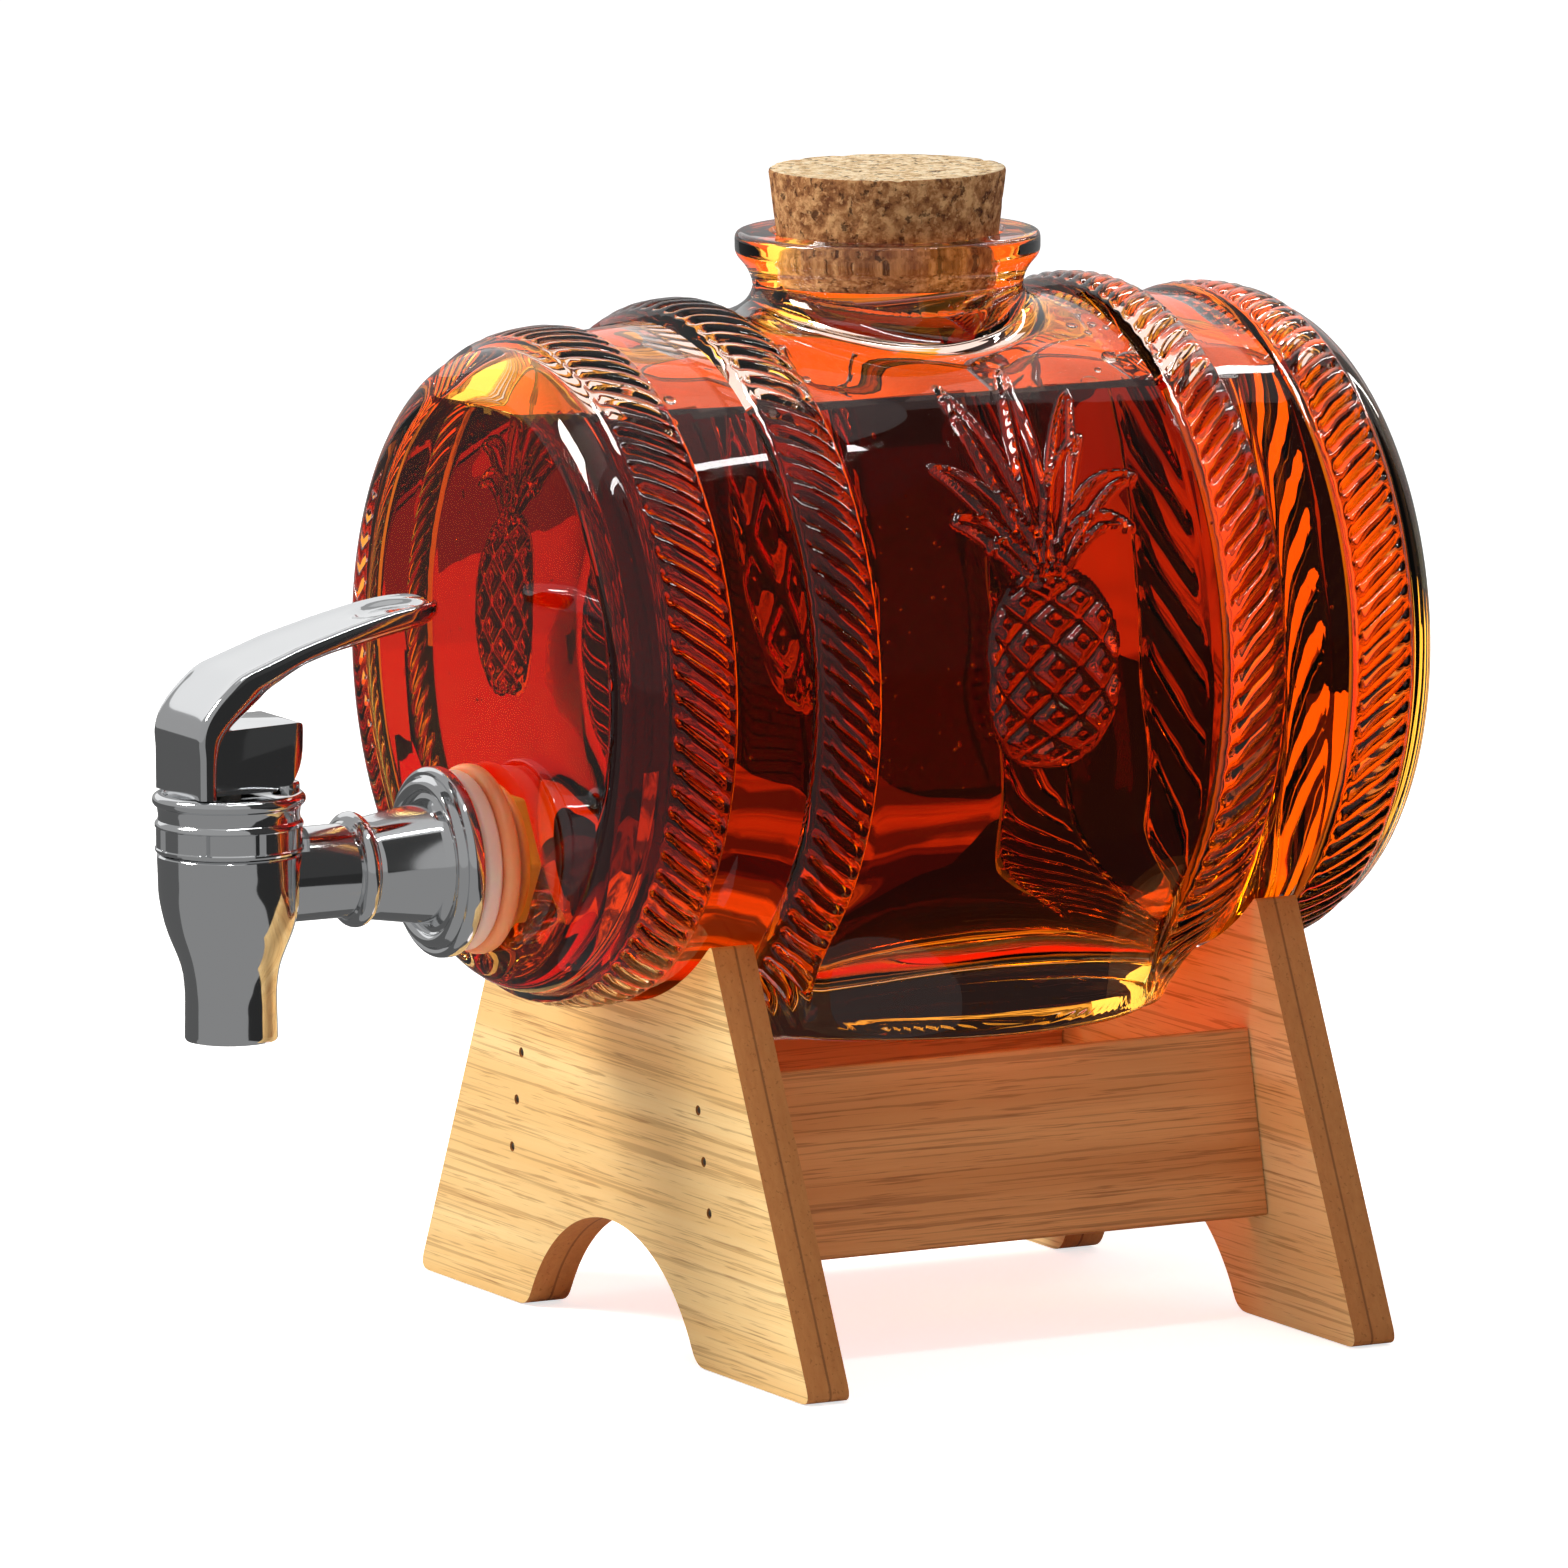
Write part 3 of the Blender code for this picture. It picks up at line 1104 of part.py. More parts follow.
def build():
    glass = material("clear_glass", (0.85, 0.9, 0.9), 0.03, transmission=1.0)
    cork = material("cork", (0.62, 0.44, 0.27), 0.85)
    bamboo = material("bamboo", (0.72, 0.5, 0.26), 0.55)
    steel = material("nail_steel", (0.35, 0.33, 0.3), 0.4, metallic=1.0)
    chrome = material("chrome_plating", (0.75, 0.76, 0.78), 0.06, metallic=1.0)
    silicone = material("silicone", (0.9, 0.75, 0.7), 0.45)
    plastic = material("white_plastic", (0.85, 0.85, 0.83), 0.4)
    stand(bamboo, steel)
    glass_barrel(glass)
    cork_stopper(cork)
    tap_body(chrome)
    clamping(silicone, plastic)
    tap_bonnet(chrome)
    bonnet_seal(silicone)
    valve_stem(plastic)
    valve_plug(silicone)
    return_spring(steel)
    lever(chrome)
    lever_pin(steel)


clear_scene()
PARTS = new_collection("glass_barrel_dispenser")
CUTTERS = new_collection("cutters")
build()
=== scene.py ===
"""Looks of a glass barrel drink dispenser with a lever tap on a bamboo stand, and its studio.

Metres, +Z up, in the frame of the CAD model. The barrel's axis runs along Y with the tap at -Y.
"Reach" is a distance along the barrel's axis from its middle, "turn" an angle round that axis from +X upward.
"""
import math
import random

import bmesh
import bpy
import numpy as np
from mathutils import Matrix, Vector

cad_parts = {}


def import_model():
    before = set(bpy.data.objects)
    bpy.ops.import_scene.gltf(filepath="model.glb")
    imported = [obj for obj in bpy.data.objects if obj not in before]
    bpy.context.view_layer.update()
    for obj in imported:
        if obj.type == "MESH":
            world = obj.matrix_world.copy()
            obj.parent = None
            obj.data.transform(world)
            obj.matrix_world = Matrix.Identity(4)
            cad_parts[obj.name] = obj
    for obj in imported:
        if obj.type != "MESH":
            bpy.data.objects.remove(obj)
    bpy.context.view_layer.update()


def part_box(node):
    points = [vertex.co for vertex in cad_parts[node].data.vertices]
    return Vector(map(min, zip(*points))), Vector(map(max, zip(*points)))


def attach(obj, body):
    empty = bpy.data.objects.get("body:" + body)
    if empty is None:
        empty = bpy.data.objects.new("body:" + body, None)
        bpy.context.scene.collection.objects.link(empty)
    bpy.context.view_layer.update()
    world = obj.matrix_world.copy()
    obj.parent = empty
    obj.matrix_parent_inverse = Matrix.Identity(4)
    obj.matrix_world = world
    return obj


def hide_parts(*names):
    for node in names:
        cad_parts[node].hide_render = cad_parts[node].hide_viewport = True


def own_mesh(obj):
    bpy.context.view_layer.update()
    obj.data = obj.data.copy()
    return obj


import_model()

PI = math.pi

# Camera, as fitted to the photograph
VIEW_AZIMUTH = 62.404
VIEW_ELEVATION = 8.791
VIEW_ROLL = math.radians(-0.320)
VIEW_DISTANCE = 2.60828
VIEW_TARGET = Vector((0, 0.009314, 0.08945))
FOCAL_PIXELS = 15820.85
IMAGE_PIXELS = 1568
SENSOR_WIDTH = 36


def box_of(node):
    """The low and the high corner of a CAD node."""
    return [Vector(corner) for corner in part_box(node)]


# Places taken from the CAD nodes
GLASS_LOW, GLASS_HIGH = box_of("glass_barrel")
BONNET_LOW = box_of("tap_bonnet")[0]
PIN_LOW, PIN_HIGH = box_of("lever_pin")
WASHER_LOW, WASHER_HIGH = box_of("head_washer")
CORK_LOW, CORK_HIGH = box_of("cork_stopper")
SPRING_LOW, SPRING_HIGH = box_of("return_spring")
BARREL_Y = (GLASS_LOW.y + GLASS_HIGH.y) / 2
HALF_LENGTH = (GLASS_HIGH.y - GLASS_LOW.y) / 2
FLANGE_TOP = GLASS_HIGH.z
FOOT_BOTTOM = GLASS_LOW.z
STEM_Z = (WASHER_LOW.z + WASHER_HIGH.z) / 2
BONNET_RADIUS = 0.0125
TAP_Y = BONNET_LOW.y + BONNET_RADIUS
PIVOT = (PIN_LOW + PIN_HIGH) / 2
CLEARANCE = 0.0003

# Glass barrel; a hoop is its near reach, its far reach and its rise
AXIS_Z = 0.112
MID_RADIUS = 0.057
SHOULDER_RADIUS = 0.0529
SHOULDER_REACH = 0.069
HEAD_FLAT = 0.046
WALL = 0.0045
INNER_SHOULDER_REACH = 0.064
INNER_FLAT = 0.0425
OUTER_HOOP = (0.0565, 0.069, 0.0022)
INNER_HOOP = (0.0316, 0.0435, 0.0032)
HOOPS = (OUTER_HOOP, INNER_HOOP)
RADIUS_LIMITS = (0.045, 0.095)
RADIUS_HALVINGS = 26
RIBS = 88
COLUMNS_PER_RIB = 8
RIB_DEPTH = 0.00085
RIB_SLANT = 2.3
BEAD_RISE = 0.00045
BEAD_SHARE = 0.045
INNER_WAVE = 0.00012
NECK_RADIUS = 0.0222
NECK_TOP_OVER_AXIS = 0.0628
NECK_OVERLAP = 0.0002
FAR_AWAY = 1.0
NECK_FILLET = 0.0055
FOOT_RADIUS = 0.0442
FOOT_FILLET = 0.010
FOOT_EDGE = 0.0025
FOOT_RECESS_RADIUS = 0.037
FOOT_RECESS_DEPTH = 0.0014
FLANGE_RADIUS = 0.0252
FLANGE_THICKNESS = 0.0037
TAIL_HOLE_RADIUS = 0.0081
TAIL_HOLE_LENGTH = 0.014
MOUTH_RADIUS = 0.01865
MOUTH_DEPTH = 0.010
BORE_RADIUS = 0.01775
NEAR_WALL = 0.0009

# Cork
CORK_BOTTOM_RADIUS = 0.01745
CORK_SIDE_PITS = 150
CORK_TOP_PITS = 60

# Tap, with heights over the stem's axis and reaches from the tap's own axis rearward
BODY_TOP = STEM_Z + 0.0046
COLLAR_TOP = BODY_TOP + 0.0051
BONNET_TOP = PIVOT.z - 0.0070
GRIP_TOP = BONNET_TOP - 0.0047
BODY_SIDE = (
    (0.0118, 0.0046), (0.0117, 0.0012), (0.0115, -0.0028), (0.01035, -0.0079), (0.0082, -0.0135),
    (0.00755, -0.0175), (0.00752, -0.0215), (0.0076, -0.0257))
OUTLET_Z = STEM_Z - 0.0262
SPOUT_BORE = 0.0061
SEAT_Z = STEM_Z - 0.0095
SEAT_BORE = 0.0044
SEAT_THICKNESS = 0.0026
CHAMBER_RADIUS = 0.0076
COLLAR_RADIUS = 0.0094
WATERWAY_RADIUS = 0.0042
ROD_RADIUS = 0.0020
GRIP_RADIUS = 0.0120
GRIP_NOTCHES = 8
GRIP_NOTCH_DEPTH = 0.0006
GRIP_NOTCH_HALF_WIDTH = 0.0008
PEG_OFFSET = 0.0101
PEG_RADIUS = 0.0024
PEG_RISE = 0.0010
TAIL_RADIUS = 0.0072
FLANGE_BACK = BARREL_Y - HALF_LENGTH - 0.0068 - TAP_Y
TAIL_END = BARREL_Y - 0.060 - TAP_Y
CONE_BACK = FLANGE_BACK - 0.003
STEM_RADIUS = 0.0077
BODY_SHOULDER = 0.0115
BONNET_ROOM = 0.0131
BONNET_COLUMNS = 160

# Washers as (node, radius, reach of the rear face, thickness), nut and spring
WASHERS = (
    ("flange_washer", 0.0148, 0.0787, 0.0033), ("head_washer", 0.0156, 0.0758, 0.0028),
    ("inner_washer", 0.0122, 0.0679, 0.0028))
WASHER_ROUNDING = 0.0011
NUT_FRONT = BARREL_Y - 0.0676
NUT_THICKNESS = 0.0046
NUT_RADIUS = 0.0118
SPRING_WIRE = 0.0004
SPRING_TURNS = 6

# Lever: (rearward, upward) from the pivot, the stations as pairs of outer and under side
LEVER_STATIONS = (
    ((-0.0091, -0.0068), (-0.0050, -0.0068)), ((-0.0091, -0.0030), (-0.0050, -0.0030)),
    ((-0.0091, 0.0), (-0.0046, 0.0)), ((-0.00925, 0.0029), (-0.0034, 0.0026)),
    ((-0.0085, 0.0056), (-0.0012, 0.0046)), ((-0.00688, 0.00806), (0.0010, 0.0062)),
    ((-0.00447, 0.01053), (0.0031, 0.0079)), ((-0.00146, 0.01288), (0.0050, 0.0096)),
    ((0.00294, 0.01456), (0.0070, 0.01098)), ((0.0064, 0.0158), (0.0090, 0.0123)),
    ((0.00988, 0.01702), (0.01127, 0.01344)), ((0.0148, 0.0184), (0.0155, 0.0147)),
    ((0.0196, 0.0197), (0.01985, 0.01555)), ((0.02655, 0.02128), (0.0262, 0.01669)),
    ((0.0326, 0.02215), (0.0326, 0.01792)), ((0.0357, 0.0222), (0.0356, 0.0190)),
    ((0.0371, 0.0212), (0.0371, 0.0201)))
LEVER_HALF_WIDTH = 0.0090
LEVER_TIP_HALF_WIDTH = 0.0074
LEVER_TIP = 0.0372
DISH_DEPTH = 0.0005
SPOON_MIDDLE = 0.0290
SPOON_HALF_LENGTH = 0.0066
SPOON_HALF_WIDTH = 0.0052
SPOON_DEPTH = 0.0008
HEEL_HALF_WIDTH = 0.0074
HEEL_END = 0.0104
HEEL_SIDE = (
    (-0.0065, -0.0064, 0), (0.0050, -0.0064, 0), (0.0056, -0.0057, 0), (0.0078, -0.0057, 0.0010),
    (0.0100, -0.0016, 0.0022), (HEEL_END, 0.0046, 0.0014), (-0.0065, 0.0040, 0))
HEEL_FRONT = -0.0062
HEEL_BACK = 0.0108
HEEL_CORNER = 0.0026
STEM_SLOT = ((-0.0040, -0.012), (0.0048, -0.012), (0.0048, 0.0037), (-0.0040, 0.0037))
STEM_SLOT_HALF_WIDTH = 0.0028
PIN_SOCKET_RADIUS = 0.0013
PIN_SOCKET_END = 0.0071

# Stand
BOARD_THICKNESS = 0.0076
FRONT_BOARD_OUTER = BARREL_Y - 0.0526
REAR_BOARD_OUTER = BARREL_Y + 0.0562
BOARD_FOOT = 0.0707
BOARD_FOOT_CORNER = 0.003
BOARD_TIP = 0.0369
BOARD_TIP_CORNER = 0.0012
BOARD_SEAM = 0.0042
ARCH_HALF_WIDTH = 0.0305
ARCH_HEIGHT = 0.0194
RAIL_THICKNESS = 0.0076
RAIL_HEIGHT = 0.0312
RAIL_BOTTOM_Z = 0.0178
RAIL_BOTTOM_X = 0.0414
RAIL_LEAN = math.radians(12.6)
NAIL_RADIUS = 0.00065
NAIL_LENGTH = 0.022
NAIL_SHARES = (0.3, 0.57, 0.84)
NAIL_SUNK = 0.00015
NAIL_SIDE = (
    (0, 0.0001), (0.0003, 0.00008), (0.0005, 0.0), (NAIL_RADIUS, -0.0002),
    (NAIL_RADIUS, -NAIL_LENGTH + 0.002), (0, -NAIL_LENGTH + 0.0003))

# Drink
LEVEL_Z = 0.1545
GLASS_INDEX = 1.5
DRINK_INDEX = 1.36
WATER_INDEX = 1.33
MENISCUS_RISE = 0.0011
MENISCUS_WIDTH = 0.0012
WET_OVERLAP = 0.00025
LEVEL_HALF_WIDTH = 0.060
LEVEL_HALF_LENGTH = 0.076
LEVEL_STEP = 0.0008
BUBBLES = 150
DROPS = 26

# Studio: glowing cloths, which only glass or mirror surfaces show, reach round the object in steps of
# azimuth, and floor cloths lie in two layers
ALL_ROUND = (-40, 320)
CLOTH_STEP = 5
CLOTH_BOTTOM = -5
FLOOR_NEAR = 0.02
FLOOR_FAR = 3.4
FLOOR_LAYER = -0.0001
UPPER_LAYER = -0.00008
DARK = (0.022, 0.008, 0.005)
WARM = (1.4, 0.5, 0.06)
BRIGHT_WARM = (2.4, 1.1, 0.14)
RELIEF_GLOW = (0.8, 0.2, 0.02)


class Value:
    """A shader socket that takes part in arithmetic: each operation adds a Math node."""

    def __init__(self, paint, socket):
        self.paint = paint
        self.socket = socket

    def math(self, operation, first, *others):
        inputs = dict(enumerate((first,) + others))
        return self.paint.node("ShaderNodeMath", inputs, operation=operation)

    def __add__(self, other):
        return self.math("ADD", self, other)

    def __radd__(self, other):
        return self.math("ADD", other, self)

    def __sub__(self, other):
        return self.math("SUBTRACT", self, other)

    def __rsub__(self, other):
        return self.math("SUBTRACT", other, self)

    def __mul__(self, other):
        return self.math("MULTIPLY", self, other)

    def __rmul__(self, other):
        return self.math("MULTIPLY", other, self)

    def __abs__(self):
        return self.math("ABSOLUTE", self)


class Paint:
    """Builds one material's nodes."""

    def __init__(self, name, owner=None):
        self.material = owner or bpy.data.materials.new(name)
        self.material.use_nodes = True
        self.tree = self.material.node_tree
        self.tree.nodes.clear()

    def node(self, kind, inputs=None, output=0, stops=None, **settings):
        """Add a node: its settings first, then its sockets' values or links; returns one output."""
        made = self.tree.nodes.new(kind)
        for key, value in settings.items():
            setattr(made, key, value)
        if stops:
            ramp = made.color_ramp
            while len(ramp.elements) < len(stops):
                ramp.elements.new(0.5)
            for element, (position, tone) in zip(ramp.elements, stops):
                element.position = position
                element.color = tone
        for key, value in (inputs or {}).items():
            socket = made.inputs[key]
            if isinstance(value, Value):
                self.tree.links.new(value.socket, socket)
            else:
                socket.default_value = value
        return Value(self, made.outputs[output]) if made.outputs else None

    def place(self, scale=(1, 1, 1), offset=(0, 0, 0)):
        """Object coordinates, which are those of the frame, scaled and moved."""
        coordinates = self.node("ShaderNodeTexCoord", output="Object")
        return self.node("ShaderNodeMapping", {"Vector": coordinates, "Scale": scale, "Location": offset})

    def noise(self, where, scale, detail=2.0, roughness=0.5):
        inputs = {"Vector": where, "Scale": scale, "Detail": detail, "Roughness": roughness}
        return self.node("ShaderNodeTexNoise", inputs)

    def ramp(self, value, *stops):
        return self.node("ShaderNodeValToRGB", {"Fac": value}, stops=stops)

    def mask(self, value, low, high):
        """0 below low, 1 above high, smooth between."""
        inputs = {"Value": value, "From Min": low, "From Max": high}
        return self.node("ShaderNodeMapRange", inputs, interpolation_type="SMOOTHSTEP")

    def mix(self, factor, first, second):
        return self.node("ShaderNodeMix", {0: factor, 6: first, 7: second}, output=2, data_type="RGBA")

    def bump(self, height, strength, distance):
        inputs = {"Height": height, "Strength": strength, "Distance": distance}
        return self.node("ShaderNodeBump", inputs)

    def principled(self, **inputs):
        named = {key.replace("_", " "): value for key, value in inputs.items()}
        return self.node("ShaderNodeBsdfPrincipled", named)

    def finish(self, surface, volume=None):
        inputs = {"Surface": surface}
        if volume:
            inputs["Volume"] = volume
        self.node("ShaderNodeOutputMaterial", inputs)
        return self.material


def color(red, green, blue):
    """A display colour of 0 to 255 as Blender's linear one."""
    parts = [c / 255 / 12.92 if c < 11 else ((c / 255 + 0.055) / 1.055) ** 2.4 for c in (red, green, blue)]
    return (*parts, 1.0)


def opaque(rgb):
    return (*rgb, 1.0)


# Materials

def see_through(paint, surface, tint):
    """Light falls through the piece: shadow rays pass it as through a tinted sheet."""
    is_shadow = paint.node("ShaderNodeLightPath", output="Is Shadow Ray")
    sheet = paint.node("ShaderNodeBsdfTransparent", {"Color": opaque(tint)})
    return paint.node("ShaderNodeMixShader", {0: is_shadow, 1: surface, 2: sheet})


def clear_surface(paint, index, scale, strength, depth=0.001):
    """A clear and slightly rippled skin that bends light."""
    ripple = paint.noise(paint.place(), scale, 1.0)
    return paint.principled(
        Base_Color=opaque((1.0, 1.0, 1.0)), Roughness=0.0, IOR=index, Transmission_Weight=1.0,
        Normal=paint.bump(ripple, strength, depth))


def glass_finish(name, index):
    paint = Paint(name)
    surface = clear_surface(paint, index, 90.0, 0.04)
    return paint.finish(see_through(paint, surface, (0.93, 0.94, 0.94)))


def drink_finish(name, index):
    """The drink: with an index of 1 where it lies on the glass, whose own finish bends the light."""
    paint = Paint(name)
    surface = clear_surface(paint, index, 60.0, 0.02)
    depth = paint.node("ShaderNodeVolumeAbsorption", {"Color": opaque((0.966, 0.79, 0.0)), "Density": 120.0})
    return paint.finish(see_through(paint, surface, (0.52, 0.48, 0.42)), depth)


def drop_finish():
    paint = Paint("clinging_drop")
    surface = clear_surface(paint, WATER_INDEX, 400.0, 0.02, 0.0002)
    return paint.finish(see_through(paint, surface, (0.96, 0.96, 0.96)))


def chrome_finish():
    paint = Paint("bright_chrome")
    smears = paint.noise(paint.place(), 220.0, 3.0)
    waves = paint.noise(paint.place(), 60.0, 1.0)
    surface = paint.principled(
        Base_Color=opaque((0.72, 0.73, 0.74)), Metallic=1.0, Roughness=0.04 + 0.06 * smears,
        Normal=paint.bump(waves, 0.05, 0.001))
    return paint.finish(surface)


def bamboo_finish(name, along, light, middle, dark):
    """Bamboo strips with the grain along one axis: pale bands, long fibres and short dark dashes."""
    paint = Paint(name)
    light, middle, dark = color(*light), color(*middle), color(*dark)

    def grain(length, scale, offset, detail=3.0):
        stretch = [1.0, 1.0, 1.0]
        stretch[along] = length
        return paint.noise(paint.place(stretch, offset), scale, detail, 0.6)

    bands = grain(0.03, 110.0, (0.7, 0.4, 0.6), 2.0)
    fibres = grain(0.015, 2400.0, (0.0, 0.0, 0.0))
    lines = grain(0.012, 1300.0, (0.5, 0.9, 0.3))
    dashes = grain(0.03, 1700.0, (0.3, 0.1, 0.2))
    pale = paint.mix(paint.mask(bands, 0.3, 0.7), light, middle)
    grained = paint.mix(0.4 * paint.mask(fibres, 0.4, 0.75), pale, middle)
    lined = paint.mix(0.42 * paint.mask(lines, 0.52, 0.62), grained, dark)
    marked = paint.mix(0.5 * paint.mask(dashes, 0.56, 0.66), lined, dark)
    surface = paint.principled(
        Base_Color=marked, Roughness=0.5 + 0.2 * fibres, Specular_IOR_Level=0.35,
        Normal=paint.bump(fibres, 0.2, 0.0002))
    return paint.finish(surface)


def end_grain_and_shade_finish():
    """The cut edges: end grain in two glued layers with a fine line between them, darker than the faces
    partly from the end grain and partly from painted shade.
    """
    paint = Paint("bamboo_end_grain_and_shade")
    grain = paint.noise(paint.place((1.0, 1.0, 0.12)), 900.0, 3.0, 0.6)
    pores = paint.mask(paint.noise(paint.place(offset=(0.2, 0.5, 0.1)), 1500.0, 2.0, 0.6), 0.6, 0.72)
    depth = paint.node("ShaderNodeSeparateXYZ", {"Vector": paint.place()}, output=1)
    front_layer = abs(depth - (FRONT_BOARD_OUTER + BOARD_SEAM))
    rear_layer = abs(depth - (REAR_BOARD_OUTER - BOARD_SEAM))
    nearest = depth.math("MINIMUM", front_layer, rear_layer)
    seam = 1 - paint.mask(nearest, 0.00012, 0.0003)
    # Darker tones than the faces: end grain colour together with painted shade
    body = paint.mix(grain, color(170, 102, 50), color(198, 134, 74))
    pored = paint.mix(0.45 * pores, body, color(112, 66, 32))
    seamed = paint.mix(0.6 * seam, pored, color(98, 56, 28))
    surface = paint.principled(
        Base_Color=seamed, Roughness=0.62 + 0.2 * grain, Specular_IOR_Level=0.3,
        Normal=paint.bump(grain - seam, 0.25, 0.0003))
    return paint.finish(surface)


def cork_finish(name, deep, middle, pale):
    """Pressed cork: cloudy granules of three tones with pale flecks and dark pits."""
    paint = Paint(name)
    spread = paint.place()
    grains = paint.noise(spread, 420.0, 3.0, 0.7)
    flecks = paint.noise(paint.place(offset=(0.3, 0.2, 0.1)), 800.0, 2.0, 0.6)
    pits = paint.mask(paint.noise(paint.place(offset=(0.6, 0.5, 0.4)), 620.0, 3.0, 0.65), 0.57, 0.66)
    fine = paint.noise(spread, 1700.0, 3.0, 0.7)
    body = paint.ramp(grains, (0.34, color(*deep)), (0.5, color(*middle)), (0.66, color(*pale)))
    flecked = paint.mix(0.7 * paint.mask(flecks, 0.56, 0.64), body, color(*pale))
    pitted = paint.mix(0.8 * pits, flecked, color(70, 40, 24))
    surface = paint.principled(
        Base_Color=pitted, Roughness=0.8 + 0.15 * fine, Specular_IOR_Level=0.2,
        Normal=paint.bump(fine + grains - 1.5 * pits, 0.6, 0.0006))
    return paint.finish(surface)


def silicone_finish(name, pale, deep):
    paint = Paint(name)
    cloud = paint.noise(paint.place(), 160.0, 2.0)
    tone = paint.mix(cloud, color(*pale), color(*deep))
    surface = paint.principled(
        Base_Color=tone, Roughness=0.38, Subsurface_Weight=0.6, Subsurface_Scale=0.004,
        Normal=paint.bump(cloud, 0.05, 0.0005))
    return paint.finish(surface)


def steel_finish():
    paint = Paint("nail_steel")
    grain = paint.noise(paint.place(), 900.0, 2.0)
    surface = paint.principled(
        Base_Color=color(96, 84, 70), Metallic=0.9, Roughness=0.35 + 0.3 * grain)
    return paint.finish(surface)


def plastic_finish():
    paint = Paint("white_nut_plastic")
    grain = paint.noise(paint.place(), 1200.0, 2.0)
    surface = paint.principled(
        Base_Color=color(226, 226, 220), Roughness=0.35 + 0.1 * grain,
        Normal=paint.bump(grain, 0.1, 0.0002))
    return paint.finish(surface)


# Mesh tools

def from_arrays(name, vertices, faces, material, angle=40):
    mesh = bpy.data.meshes.new(name)
    mesh.from_pydata([tuple(v) for v in vertices], [], [tuple(f) for f in faces])
    mesh.materials.append(material)
    mesh.shade_smooth()
    mesh.set_sharp_from_angle(angle=math.radians(angle))
    made = bpy.data.objects.new(name, mesh)
    bpy.context.scene.collection.objects.link(made)
    return made


def rounded(corners, steps=5):
    """Points of an outline of (a, b, radius) corners, each corner rounded by its radius where it has one."""
    points = []
    for i, corner in enumerate(corners):
        here = Vector(corner[:2])
        if len(corner) < 3 or corner[2] <= 0:
            points.append(tuple(here))
            continue
        back, ahead = (
            (Vector(corners[k % len(corners)][:2]) - here).normalized() * corner[2] for k in (i - 1, i + 1))
        for k in range(steps + 1):
            t = k / steps
            points.append(tuple(here + back * (1 - t) ** 2 + ahead * t ** 2))
    return points


def smooth_line(points, steps):
    """A curve through points of any number of coordinates, with steps pieces between neighbours."""
    def between(a, b, c, d, t):
        square = (2 * a - 5 * b + 4 * c - d) * t * t
        return 0.5 * (2 * b + (c - a) * t + square + (3 * b - a - 3 * c + d) * t ** 3)

    padded = [points[0], *points, points[-1]]
    line = []
    for near in zip(padded, padded[1:], padded[2:], padded[3:]):
        line += [tuple(between(*parts, k / steps) for parts in zip(*near)) for k in range(steps)]
    return line + [tuple(points[-1])]


def lathe(name, profile, segments, material, origin=(0, 0, 0), forward=False, ring=False, angle=40):
    """Turn (radius, height) points about Z, or about the barrel's axis where height counts forward."""
    turns = np.linspace(0, 2 * PI, segments, endpoint=False)
    vertices = []
    rows = []
    for radius, height in profile:
        if radius < 1e-7 and not ring:
            rows.append([len(vertices)])
            vertices.append((0, 0, height))
            continue
        rows.append(list(range(len(vertices), len(vertices) + segments)))
        vertices += [(radius * math.cos(a), radius * math.sin(a), height) for a in turns]
    pairs = list(zip(rows[:-1], rows[1:]))
    if ring:
        pairs.append((rows[-1], rows[0]))
    faces = []
    for upper, lower in pairs:
        for i in range(segments):
            k = (i + 1) % segments
            if len(upper) == 1:
                faces.append((upper[0], lower[i], lower[k]))
            elif len(lower) == 1:
                faces.append((upper[i], lower[0], upper[k]))
            else:
                faces.append((upper[i], lower[i], lower[k], upper[k]))
    if forward:
        vertices = [(x, -z, y) for x, y, z in vertices]
    ox, oy, oz = origin
    vertices = [(x + ox, y + oy, z + oz) for x, y, z in vertices]
    return from_arrays(name, vertices, faces, material, angle)


def placed(piece, node, body):
    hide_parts(node)
    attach(piece, body)


def prism(name, outline, low, high, material, axis="x"):
    """A flat outline given a thickness along one axis, its points in the two others."""
    place = "xyz".index(axis)
    vertices = [(*spot[:place], level, *spot[place:]) for level in (low, high) for spot in outline]
    count = len(outline)
    faces = [tuple(range(count)), tuple(range(2 * count - 1, count - 1, -1))]
    faces += [(i, count + i, count + (i + 1) % count, (i + 1) % count) for i in range(count)]
    made = from_arrays(name, vertices, faces, material)
    outward_faces(made)
    return made


def skinned(name, sections, material, angle):
    """A closed body over sections with as many points each, its ends flat."""
    count = len(sections[0])
    vertices = [point for section in sections for point in section]
    faces = [tuple(range(count)), tuple(range(len(vertices) - 1, len(vertices) - count - 1, -1))]
    for row in range(0, len(vertices) - count, count):
        for i in range(count):
            k = (i + 1) % count
            faces.append((row + i, row + count + i, row + count + k, row + k))
    made = from_arrays(name, vertices, faces, material, angle)
    outward_faces(made)
    return made


def outward_faces(made):
    bm = bmesh.new()
    bm.from_mesh(made.data)
    bmesh.ops.recalc_face_normals(bm, faces=bm.faces)
    bm.to_mesh(made.data)
    bm.free()


def settled(piece, angle):
    """Apply the piece's modifiers and shade it."""
    depsgraph = bpy.context.evaluated_depsgraph_get()
    mesh = bpy.data.meshes.new_from_object(piece.evaluated_get(depsgraph))
    piece.modifiers.clear()
    piece.data = mesh
    mesh.shade_smooth()
    mesh.set_sharp_from_angle(angle=math.radians(angle))
    return piece


def combined(piece, others, operation, angle):
    """Join, cut or trim a piece by others, which are used up."""
    for other in others:
        modifier = piece.modifiers.new("combine", "BOOLEAN")
        modifier.operation = operation
        modifier.solver = "MANIFOLD"
        modifier.object = other
    settled(piece, angle)
    for other in others:
        bpy.data.objects.remove(other, do_unlink=True)


